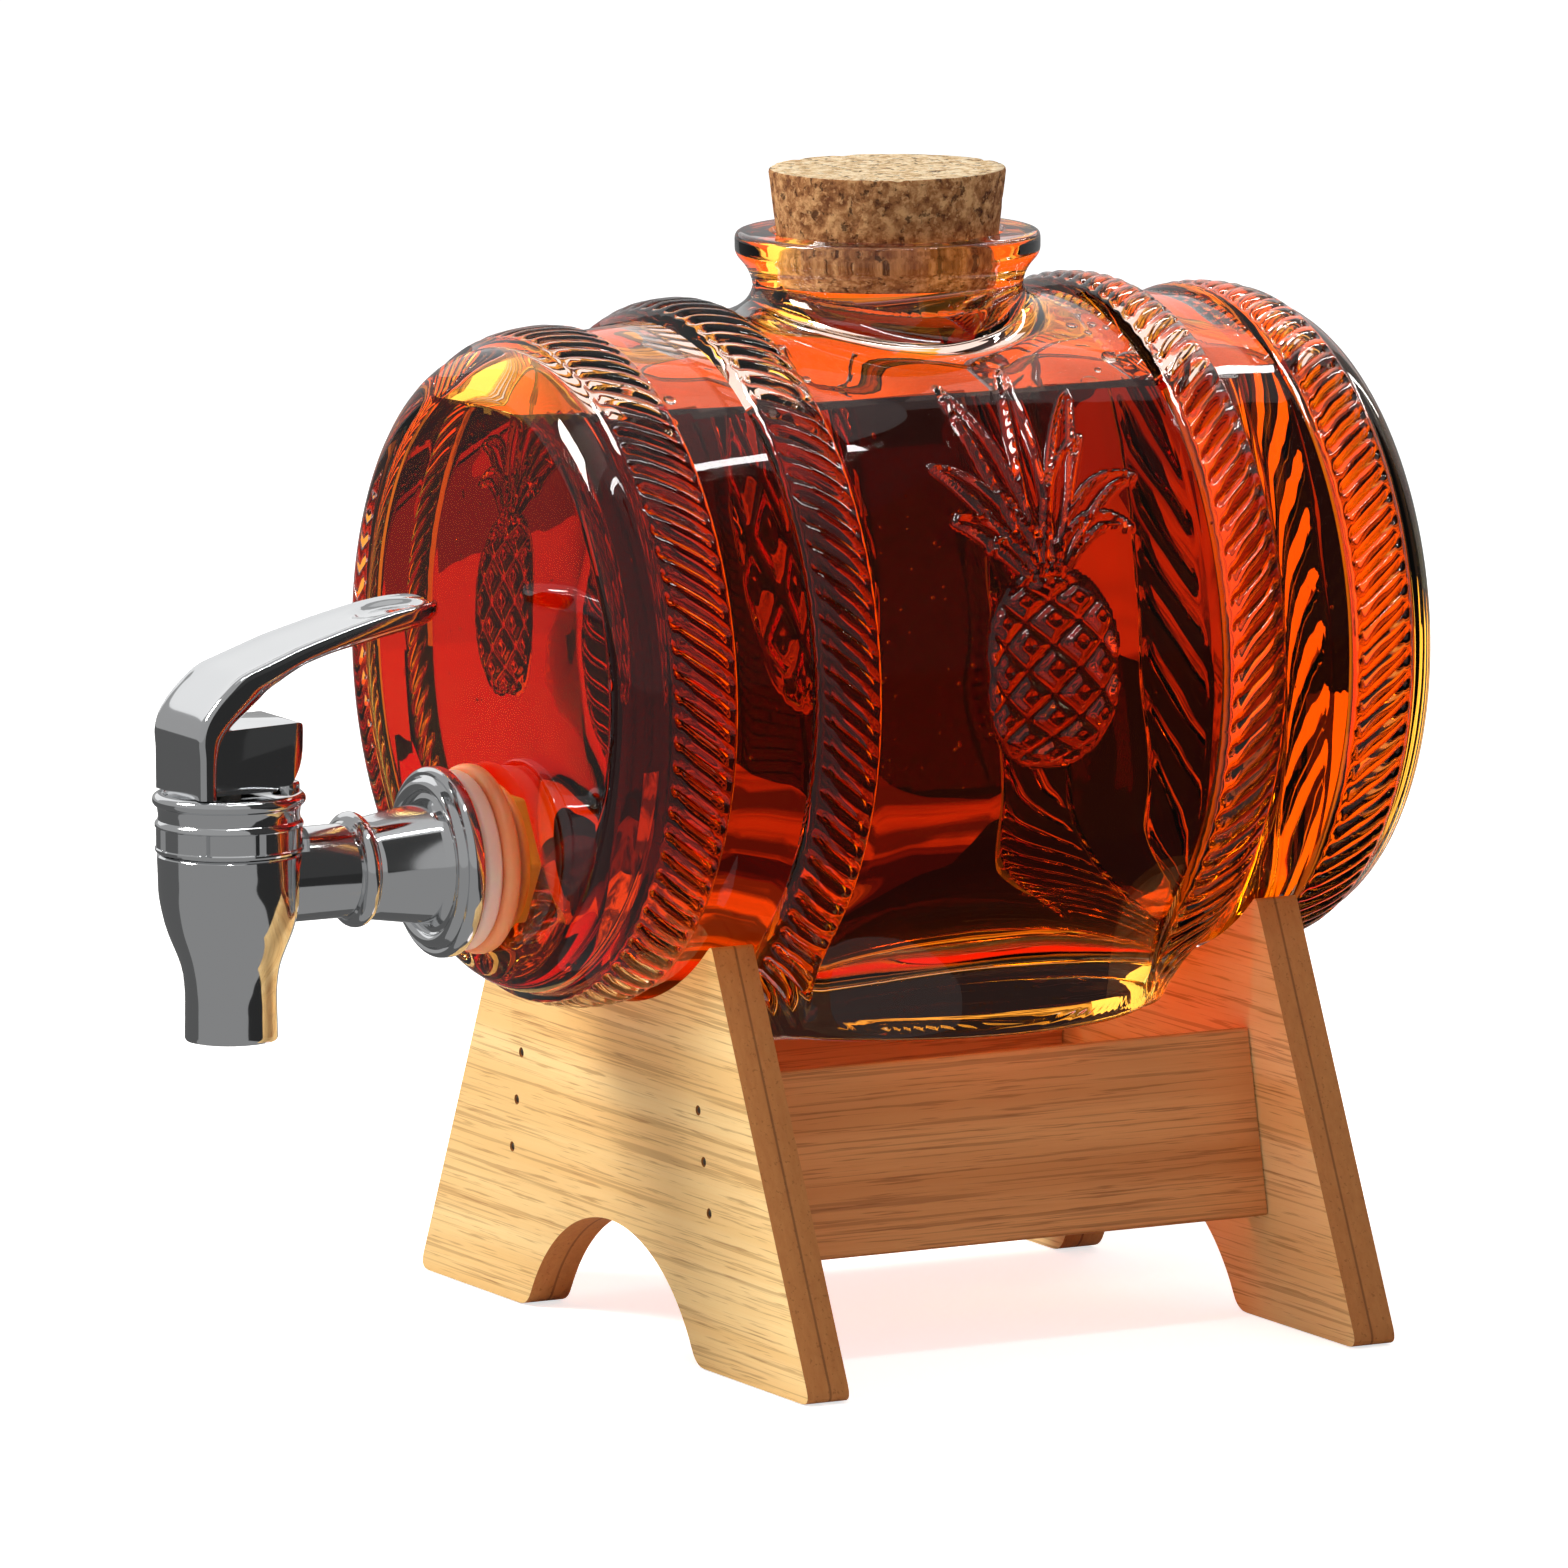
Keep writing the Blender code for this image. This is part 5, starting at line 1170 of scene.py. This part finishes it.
def arm_section(outer, under):
    """Round one section: the dished outer face, rounded edges, and the slightly hollow under side."""
    outer, under = Vector(outer), Vector(under)
    thickness = (outer - under).length
    normal = (outer - under) / thickness
    half = arm_half_width((outer.x + under.x) / 2)
    rim = min(0.0009, 0.4 * thickness, 0.4 * half)
    band = min(0.0016, 0.45 * thickness)
    thin = min(thickness / 0.003, 1)
    dish = DISH_DEPTH * float(smooth_step(outer.y, 0.004, 0.013)) * min(half / 0.006, 1) * thin
    points = []
    for i in range(25):
        across = (half - rim) * (i / 12 - 1)
        share = abs(across) / (half - rim)
        spoon = ((outer.x - SPOON_MIDDLE) / SPOON_HALF_LENGTH) ** 2 + (across / SPOON_HALF_WIDTH) ** 2
        sunk = dish * (1 - share ** 6) + SPOON_DEPTH * (1 - float(smooth_step(spoon, 0.45, 1.0))) * thin
        points.append((across, thickness - sunk))
    points += bulge((half - rim, thickness - rim), rim, 90, 0, 5)[1:]
    for i in range(27):
        angle = PI * i / 26
        across = half * math.copysign(abs(math.cos(angle)) ** 0.75, math.cos(angle))
        points.append((across, (thickness - band) * (1 - max(math.sin(angle), 0) ** 0.75)))
    points += bulge((-half + rim, thickness - rim), rim, 180, 90, 5)[:-1]
    return [(x, TAP_Y + under.x + normal.x * v, PIVOT.z + under.y + normal.y * v) for x, v in points]


def lever(material):
    """The lever: a block over the bonnet that sweeps up and back into a dished arm, and its round heel."""
    def from_pivot(points):
        return [(TAP_Y + a, PIVOT.z + b) for a, b in points]

    line = smooth_line([outer + under for outer, under in LEVER_STATIONS], 6)
    sections = [arm_section(station[:2], station[2:]) for station in line]
    arm = skinned("lever_finish", sections, material, 35)
    heel = prism("heel_form", from_pivot(rounded(HEEL_SIDE, 6)), -0.02, 0.02, material)
    plan = rounded([
        (HEEL_HALF_WIDTH, TAP_Y + HEEL_FRONT), (HEEL_HALF_WIDTH, TAP_Y + HEEL_BACK, HEEL_CORNER),
        (-HEEL_HALF_WIDTH, TAP_Y + HEEL_BACK, HEEL_CORNER), (-HEEL_HALF_WIDTH, TAP_Y + HEEL_FRONT)], 8)
    plan = prism("heel_plan", plan, PIVOT.z - 0.01, PIVOT.z + 0.01, material, "z")
    combined(heel, [plan], "INTERSECT", 40)
    softened(heel, 0.0004, 2, 35)
    combined(arm, [heel], "UNION", 35)
    cuts = [prism(name, from_pivot(outline), -half, half, material) for name, outline, half in (
        ("slot_form", STEM_SLOT, STEM_SLOT_HALF_WIDTH),
        ("socket_form", bulge((0, 0), PIN_SOCKET_RADIUS, 0, 345, 23), PIN_SOCKET_END))]
    combined(arm, cuts, "DIFFERENCE", 35)
    placed(arm, "lever", "lever")


def washers(finishes):
    """Two washers outside the head and one inside, each with its own finish."""
    hole, round_edge = TAIL_RADIUS + CLEARANCE, WASHER_ROUNDING
    for (node, radius, back, thickness), material in zip(WASHERS, finishes):
        front = BARREL_Y - back - thickness - TAP_Y
        rear = front + thickness
        profile = [(hole, front), *bulge((radius - round_edge, front + round_edge), round_edge, -90, 0, 5),
                   *bulge((radius - round_edge, rear - round_edge), round_edge, 0, 90, 5), (hole, rear)]
        placed(level(node + "_finish", profile, 96, material), node, "barrel")


def return_spring(material):
    """The coil over the stem, built in one shape; the real coil is squeezed against the bonnet's plate as the
    valve lifts.
    """
    per_turn = 24
    wire = bulge((0, 0), SPRING_WIRE, 0, 324, 9)
    radius = (SPRING_HIGH.x - SPRING_LOW.x) / 2 - SPRING_WIRE
    bottom, top = SPRING_LOW.z + SPRING_WIRE, SPRING_HIGH.z - SPRING_WIRE
    rounds = []
    for i in range(SPRING_TURNS * per_turn + 1):
        angle = 2 * PI * i / per_turn
        away = Vector((math.cos(angle), math.sin(angle), 0))
        height = bottom + (top - bottom) * i / (SPRING_TURNS * per_turn)
        middle = Vector((0, TAP_Y, height)) + away * radius
        rounds.append([middle + away * a + Vector((0, 0, b)) for a, b in wire])
    piece = skinned("return_spring_finish", rounds, material, 60)
    placed(piece, "return_spring", "barrel")
    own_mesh(piece)


def lock_nut(material):
    hexagon = [(x, STEM_Z + z) for x, z in bulge((0, 0), NUT_RADIUS, 0, 300, 5)]
    nut = prism("lock_nut_finish", hexagon, NUT_FRONT, NUT_FRONT + NUT_THICKNESS, material, "y")
    softened(nut, 0.0007, 3)
    front = NUT_FRONT - TAP_Y
    hole = bore("nut_bore", TAIL_RADIUS + CLEARANCE, front - 0.002, front + 0.007, material)
    combined(nut, [hole], "DIFFERENCE", 35)
    placed(nut, "lock_nut", "barrel")


# Stand

def board_outline():
    """One end board in (x, z): two feet, the arch, leaning sides and the round cradle."""
    cradle = plain_radius(0.045) + CLEARANCE
    arch = (ARCH_HALF_WIDTH ** 2 + ARCH_HEIGHT ** 2) / (2 * ARCH_HEIGHT)
    toe = math.degrees(math.asin((arch - ARCH_HEIGHT) / arch) + BOARD_FOOT_CORNER / arch)
    inner = math.degrees(math.asin((BOARD_TIP - BOARD_TIP_CORNER) / cradle))
    tip = (BOARD_TIP, AXIS_Z - math.sqrt(cradle ** 2 - BOARD_TIP ** 2), BOARD_TIP_CORNER)
    right = bulge((0, ARCH_HEIGHT - arch), arch, 90, toe, 24)
    right += [(ARCH_HALF_WIDTH, 0, BOARD_FOOT_CORNER), (BOARD_FOOT, 0, BOARD_FOOT_CORNER), tip]
    right += bulge((0, AXIS_Z), cradle, inner - 90, -90, 24)
    left = [(-point[0], *point[1:]) for point in right[-2:0:-1]]
    return rounded(right + left, 5)


def rail_spot(side, through, up):
    """A point of a rail's end from its middle: through its thickness and up its leaning width."""
    lean_x, lean_z = math.sin(RAIL_LEAN), math.cos(RAIL_LEAN)
    middle_x = RAIL_BOTTOM_X - RAIL_HEIGHT / 2 * lean_x - RAIL_THICKNESS / 2 * lean_z
    middle_z = RAIL_BOTTOM_Z + RAIL_HEIGHT / 2 * lean_z - RAIL_THICKNESS / 2 * lean_x
    return side * (middle_x + through * lean_z - up * lean_x), middle_z + through * lean_x + up * lean_z


def nail_spots():
    """The middles of the nails in (x, z), the right rail's first, each column from the bottom up."""
    return [rail_spot(side, 0, (share - 0.5) * RAIL_HEIGHT) for side in (1, -1) for share in NAIL_SHARES]


def end_board(node, outer, end, face, edge):
    """A board with softened edges and a small sunk ring at each nail; its cut edges have their own finish."""
    inner = outer - end * BOARD_THICKNESS
    board = prism(node + "_finish", board_outline(), min(outer, inner), max(outer, inner), face, "y")
    board.data.materials.append(edge)
    for polygon in board.data.polygons:
        polygon.material_index = int(abs(polygon.normal.y) <= 0.9)
    softened(board, 0.0005, 2)
    dimples = []
    for i, spot in enumerate(nail_spots()):
        ring = bulge(spot, NAIL_RADIUS + 0.0002, 0, 345, 23)
        dimples.append(prism("nail_ring_%d" % i, ring, outer - 0.0005, outer + 0.0005, edge, "y"))
    combined(board, dimples, "DIFFERENCE", 35)
    placed(board, node, "stand")


def rail(node, side, face, edge):
    """A rail between the boards, whose leaning section has softened corners."""
    ends = [(-1, -1), (1, -1), (1, 1), (-1, 1)]
    outline = [(*rail_spot(side, a * RAIL_THICKNESS / 2, b * RAIL_HEIGHT / 2), 0.0007) for a, b in ends]
    front = FRONT_BOARD_OUTER + BOARD_THICKNESS + CLEARANCE
    rear = REAR_BOARD_OUTER - BOARD_THICKNESS - CLEARANCE
    piece = prism(node + "_finish", rounded(outline, 4), front, rear, face, "y")
    piece.data.materials.append(edge)
    for polygon in piece.data.polygons:
        polygon.material_index = int(abs(polygon.normal.y) > 0.9 or abs(polygon.normal.z) > 0.7)
    placed(piece, node, "stand")


def nails(material):
    """Three nails through each board into each rail's end, with domed heads."""
    boards = (("front", 1, FRONT_BOARD_OUTER + NAIL_SUNK), ("rear", -1, REAR_BOARD_OUTER - NAIL_SUNK))
    for board, end, outer in boards:
        profile = [(radius, end * height) for radius, height in NAIL_SIDE[::end]]
        for i, (x, z) in enumerate(nail_spots()):
            node = "nail_%s_%s_%d" % (board, "right" if i < 3 else "left", i % 3 + 1)
            piece = lathe(node + "_finish", profile, 20, material, origin=(x, outer, z), forward=True)
            placed(piece, node, "stand")


# Studio

def outward(azimuth, elevation):
    """Direction from the object: azimuth in degrees from -Y toward +X, elevation upward."""
    azimuth, elevation = math.radians(azimuth), math.radians(elevation)
    level = math.cos(elevation)
    return Vector((math.sin(azimuth) * level, -math.cos(azimuth) * level, math.sin(elevation)))


def camera():
    back = outward(VIEW_AZIMUTH, VIEW_ELEVATION)
    right = (-back).cross(Vector((0, 0, 1))).normalized()
    up = right.cross(-back)
    across = right * math.cos(VIEW_ROLL) + up * math.sin(VIEW_ROLL)
    upward = -right * math.sin(VIEW_ROLL) + up * math.cos(VIEW_ROLL)
    data = bpy.data.cameras.new("photo_camera")
    data.sensor_width = SENSOR_WIDTH
    data.lens = FOCAL_PIXELS / IMAGE_PIXELS * SENSOR_WIDTH
    data.clip_end = 50
    made = bpy.data.objects.new("photo_camera", data)
    turned = Matrix((across, upward, back)).transposed().to_4x4()
    made.matrix_world = Matrix.Translation(VIEW_TARGET + back * VIEW_DISTANCE) @ turned
    bpy.context.scene.collection.objects.link(made)
    bpy.context.scene.camera = made


def seen_white(paint):
    """1 for rays that see the background: straight, mirrored or through glass."""
    path = paint.node("ShaderNodeLightPath", output="Is Camera Ray")
    glossy = paint.node("ShaderNodeLightPath", output="Is Glossy Ray")
    through = paint.node("ShaderNodeLightPath", output="Is Transmission Ray")
    return path.math("MINIMUM", path + glossy + through, 1.0)


def world(ambient):
    made = bpy.data.worlds.new("studio")
    bpy.context.scene.world = made
    paint = Paint("studio", made)
    dim = paint.node("ShaderNodeBackground", {"Color": opaque((ambient,) * 3), "Strength": 1.0})
    white = paint.node("ShaderNodeBackground", {"Color": (1, 1, 1, 1), "Strength": 1.0})
    paint.node("ShaderNodeOutputWorld", {
        "Surface": paint.node("ShaderNodeMixShader", {0: seen_white(paint), 1: dim, 2: white})})


def floor(glow):
    paint = Paint("studio_floor")
    shine = paint.mix(seen_white(paint), (0, 0, 0, 1), opaque((glow,) * 3))
    surface = paint.principled(
        Base_Color=(0.86, 0.86, 0.86, 1), Roughness=1.0, Specular_IOR_Level=0.0, Emission_Color=shine,
        Emission_Strength=1.0)
    square = [(-6, -6), (6, -6), (6, 6), (-6, 6)]
    prism("studio_floor", square, -0.02, -0.0002, paint.finish(surface), "z")


def cloth(name, vertices, faces, shade, seen_in, flames=False):
    """Studio cloth that glows by its own emission though it is no lamp and lights nothing: painted light that
    only glass (seen_in "transmission") or only mirror surfaces ("glossy") show.
    """
    paint = Paint(name)
    tint = opaque(shade if isinstance(shade, tuple) else (shade,) * 3)
    # Flames: wisps of brighter and dimmer glow, painted streaks of light
    if flames:
        wisps = paint.node("ShaderNodeTexNoise", {
            "Vector": paint.place((1.0, 1.0, 3.0)), "Scale": 1.6, "Detail": 3.0, "Distortion": 1.5})
        tint = paint.mix(paint.mask(wisps, 0.4, 0.6), opaque([0.2 * part for part in shade]), tint)
    material = paint.finish(paint.principled(
        Base_Color=(0, 0, 0, 1), Specular_IOR_Level=0.0, Emission_Color=tint, Emission_Strength=1.0))
    made = from_arrays(name, vertices, faces, material)
    for ray in ("camera", "diffuse", "glossy", "transmission", "volume_scatter", "shadow"):
        setattr(made, "visible_" + ray, ray == seen_in)


def screen(name, shade, azimuths, elevations, distance, seen_in, windows=(), flames=False):
    """A cloth round the object, part of a sphere with windows cut in it."""
    vertices = []
    for a in range(*azimuths, CLOTH_STEP):
        for e in range(*elevations, CLOTH_STEP):
            if any(low_a <= a < high_a and low_e <= e < high_e for low_a, high_a, low_e, high_e in windows):
                continue
            rise = min(CLOTH_STEP, elevations[1] - e)
            around = ((0, 0), (CLOTH_STEP, 0), (CLOTH_STEP, rise), (0, rise))
            vertices += [VIEW_TARGET + outward(a + da, e + de) * distance for da, de in around]
    faces = [(first, first + 1, first + 2, first + 3) for first in range(0, len(vertices), 4)]
    cloth(name, vertices, faces, shade, seen_in, flames)


def strip(name, shade, azimuths, edges, seen_in, middle=Vector(), flames=False):
    """A cloth along an arc round the object, between two edges given as (distance, height)."""
    vertices = []
    for a in range(azimuths[0], azimuths[1] + 1, CLOTH_STEP):
        for distance, height in edges:
            spot = middle + outward(a, 0) * distance
            vertices.append((spot.x, spot.y, height))
    faces = [(i, i + 2, i + 3, i + 1) for i in range(0, len(vertices) - 2, 2)]
    cloth(name, vertices, faces, shade, seen_in, flames)


def floor_cloth(name, shade, azimuths, near, far, seen_in, height=FLOOR_LAYER, flames=False):
    strip(name, shade, azimuths, ((near, height), (far, height)), seen_in, flames=flames)


def banner(name, shade, azimuths, distance, low, high):
    """An upright cloth close round the object, which only glass shows."""
    strip(name, shade, azimuths, ((distance, low), (distance, high)), "transmission", VIEW_TARGET)


def softbox(name, azimuth, elevation, distance, width, height, power, tint=(1, 1, 1)):
    data = bpy.data.lights.new(name, "AREA")
    data.shape = "RECTANGLE"
    data.size = width
    data.size_y = height
    data.energy = power
    data.color = tint
    made = bpy.data.objects.new(name, data)
    bpy.context.scene.collection.objects.link(made)
    direction = outward(azimuth, elevation)
    made.location = VIEW_TARGET + direction * distance
    made.rotation_euler = direction.to_track_quat("Z", "Y").to_euler()


def mirror_cloths():
    """What chrome and the glass mirror: grey cloth, paler overhead and open to the white studio behind."""
    walls = (CLOTH_BOTTOM, 65)
    windows = [(95, 180, *walls), (215, 290, 10, 50)]
    screen("mirror_cloth", 0.4, ALL_ROUND, walls, 3.2, "glossy", windows)
    screen("mirror_dark", 0.05, (95, 180), walls, 3.2, "glossy")
    screen("mirror_top", 0.6, ALL_ROUND, (65, 90), 3.2, "glossy")
    for side, shade, azimuths in (
            ("front", 0.3, (-20, 95)), ("side", 0.03, (95, 180)), ("rear", 0.3, (180, 270)),
            ("left", 0.12, (270, 340))):
        floor_cloth("mirror_floor_" + side, shade, azimuths, FLOOR_NEAR, FLOOR_FAR, "glossy")


def glass_cloths():
    """What shows through the drink: dark cloth with warm windows on three sides."""
    for name, shade, azimuths, elevations, distance, flames in (
            ("dark_cloth", DARK, ALL_ROUND, (CLOTH_BOTTOM, 90), 3.3, False),
            ("low_glow", (0.32, 0.06, 0.008), (215, 275), (8, 15), 3.2, True),
            ("high_back", (1.4, 0.5, 0.05), (215, 275), (15, 42), 3.1, True),
            ("relief_glow", RELIEF_GLOW, (234, 255), (CLOTH_BOTTOM, 12), 3.0, True),
            ("pale_top", (1.2, 0.9, 0.78), ALL_ROUND, (42, 90), 3.1, False),
            ("rear_glow", WARM, (185, 205), (CLOTH_BOTTOM, 30), 3.0, False),
            ("right_back", (1.5, 0.6, 0.06), (100, 140), (CLOTH_BOTTOM, 50), 3.0, False),
            ("left_back", BRIGHT_WARM, (275, 335), (CLOTH_BOTTOM, 50), 3.0, False)):
        screen(name, shade, azimuths, elevations, distance, "transmission", flames=flames)
    for name, shade, near, far in (
            ("dark_floor", DARK, 0.43, FLOOR_FAR), ("dusk_floor", (0.16, 0.025, 0.005), 0.38, 0.43),
            ("warm_near_floor", (0.42, 0.08, 0.01), FLOOR_NEAR, 0.38)):
        floor_cloth(name, shade, ALL_ROUND, near, far, "transmission")
    for name, shade, azimuths, near, far, flames in (
            ("relief_floor", RELIEF_GLOW, (235, 260), 0.34, FLOOR_FAR, True),
            ("warm_rear_floor", (0.9, 0.22, 0.03), (175, 205), 0.1, 0.6, False),
            ("warm_right_floor", (1.3, 0.5, 0.05), (95, 145), 0.1, FLOOR_FAR, False),
            ("warm_left_floor", BRIGHT_WARM, (265, 335), 0.2, FLOOR_FAR, False),
            ("warm_left_near", WARM, (275, 345), FLOOR_NEAR, 0.2, False)):
        floor_cloth(name, shade, azimuths, near, far, "transmission", UPPER_LAYER, flames)


def banners():
    """Cloths close behind the barrel, which only the headspace, the foot and the low right end show."""
    banner("headspace_cloth", (1.6, 0.16, 0.008), (165, 290), 0.13, 0.15, 0.2)
    banner("foot_cloth", (0.02, 0.01, 0.008), (215, 265), 0.12, 0.0, 0.098)
    banner("low_end_glow", (2.0, 2.0, 0.4), (285, 325), 0.14, 0.045, 0.095)
    banner("foot_end_glow", (1.6, 1.5, 1.4), (265, 335), 0.13, 0.0, 0.04)


def studio():
    bpy.context.scene.view_settings.view_transform = "Standard"
    camera()
    world(0.3)
    floor(0.7)
    softbox("key_softbox", -20, 42, 1.6, 0.5, 0.5, 22, (1.0, 0.97, 0.93))
    softbox("top_strip", 100, 72, 1.3, 0.9, 0.06, 3.4)
    softbox("rear_strip", 200, 38, 1.5, 0.08, 0.8, 3)
    mirror_cloths()
    glass_cloths()
    banners()


def finish_cad(silicone, steel, plastic):
    """Give the CAD nodes that stay, all of them hidden in the tap, their materials."""
    finishes = {
        "bonnet_seal": silicone, "valve_plug": silicone, "valve_stem": plastic, "lever_pin": steel}
    for name, material in finishes.items():
        for slot in bpy.data.objects[name].material_slots:
            slot.material = material


def build():
    chrome = chrome_finish()
    pale_pink = silicone_finish("pale_pink_silicone", (255, 214, 202), (252, 196, 180))
    peach = silicone_finish("peach_silicone", (255, 172, 124), (255, 148, 94))
    steel = steel_finish()
    plastic = plastic_finish()
    board = bamboo_finish("bamboo_board", 0, (252, 222, 160), (240, 198, 130), (160, 102, 46))
    # The rails' bamboo is a darker, warmer copy of the boards': painted shade and painted orange light from
    # the drink
    rail_painted_shade = bamboo_finish("bamboo_rail_painted_shade", 1, (222, 152, 92), (202, 128, 70), (128, 70, 34))
    edge = end_grain_and_shade_finish()
    clear = glass_finish("clear_pressed_glass", GLASS_INDEX)
    wetted = glass_finish("wetted_glass", GLASS_INDEX / DRINK_INDEX)
    glass_barrel(clear, wetted)
    drink(drink_finish("amber_drink", 1.0), drink_finish("amber_drink_surface", DRINK_INDEX))
    drops(drop_finish())
    # Paler copy of the cork for the ends: painted light from above
    cork(cork_finish("cork_side", (112, 66, 38), (168, 116, 72), (214, 166, 114)),
         cork_finish("cork_ends_painted_light", (186, 146, 100), (232, 202, 158), (250, 234, 204)))
    tap_body(chrome)
    bonnet(chrome)
    lever(chrome)
    washers((pale_pink, peach, pale_pink))
    lock_nut(plastic)
    return_spring(steel)
    end_board("front_board", FRONT_BOARD_OUTER, -1, board, edge)
    end_board("rear_board", REAR_BOARD_OUTER, 1, board, edge)
    rail("right_rail", 1, rail_painted_shade, edge)
    rail("left_rail", -1, rail_painted_shade, edge)
    nails(steel)
    finish_cad(pale_pink, steel, plastic)


build()
studio()
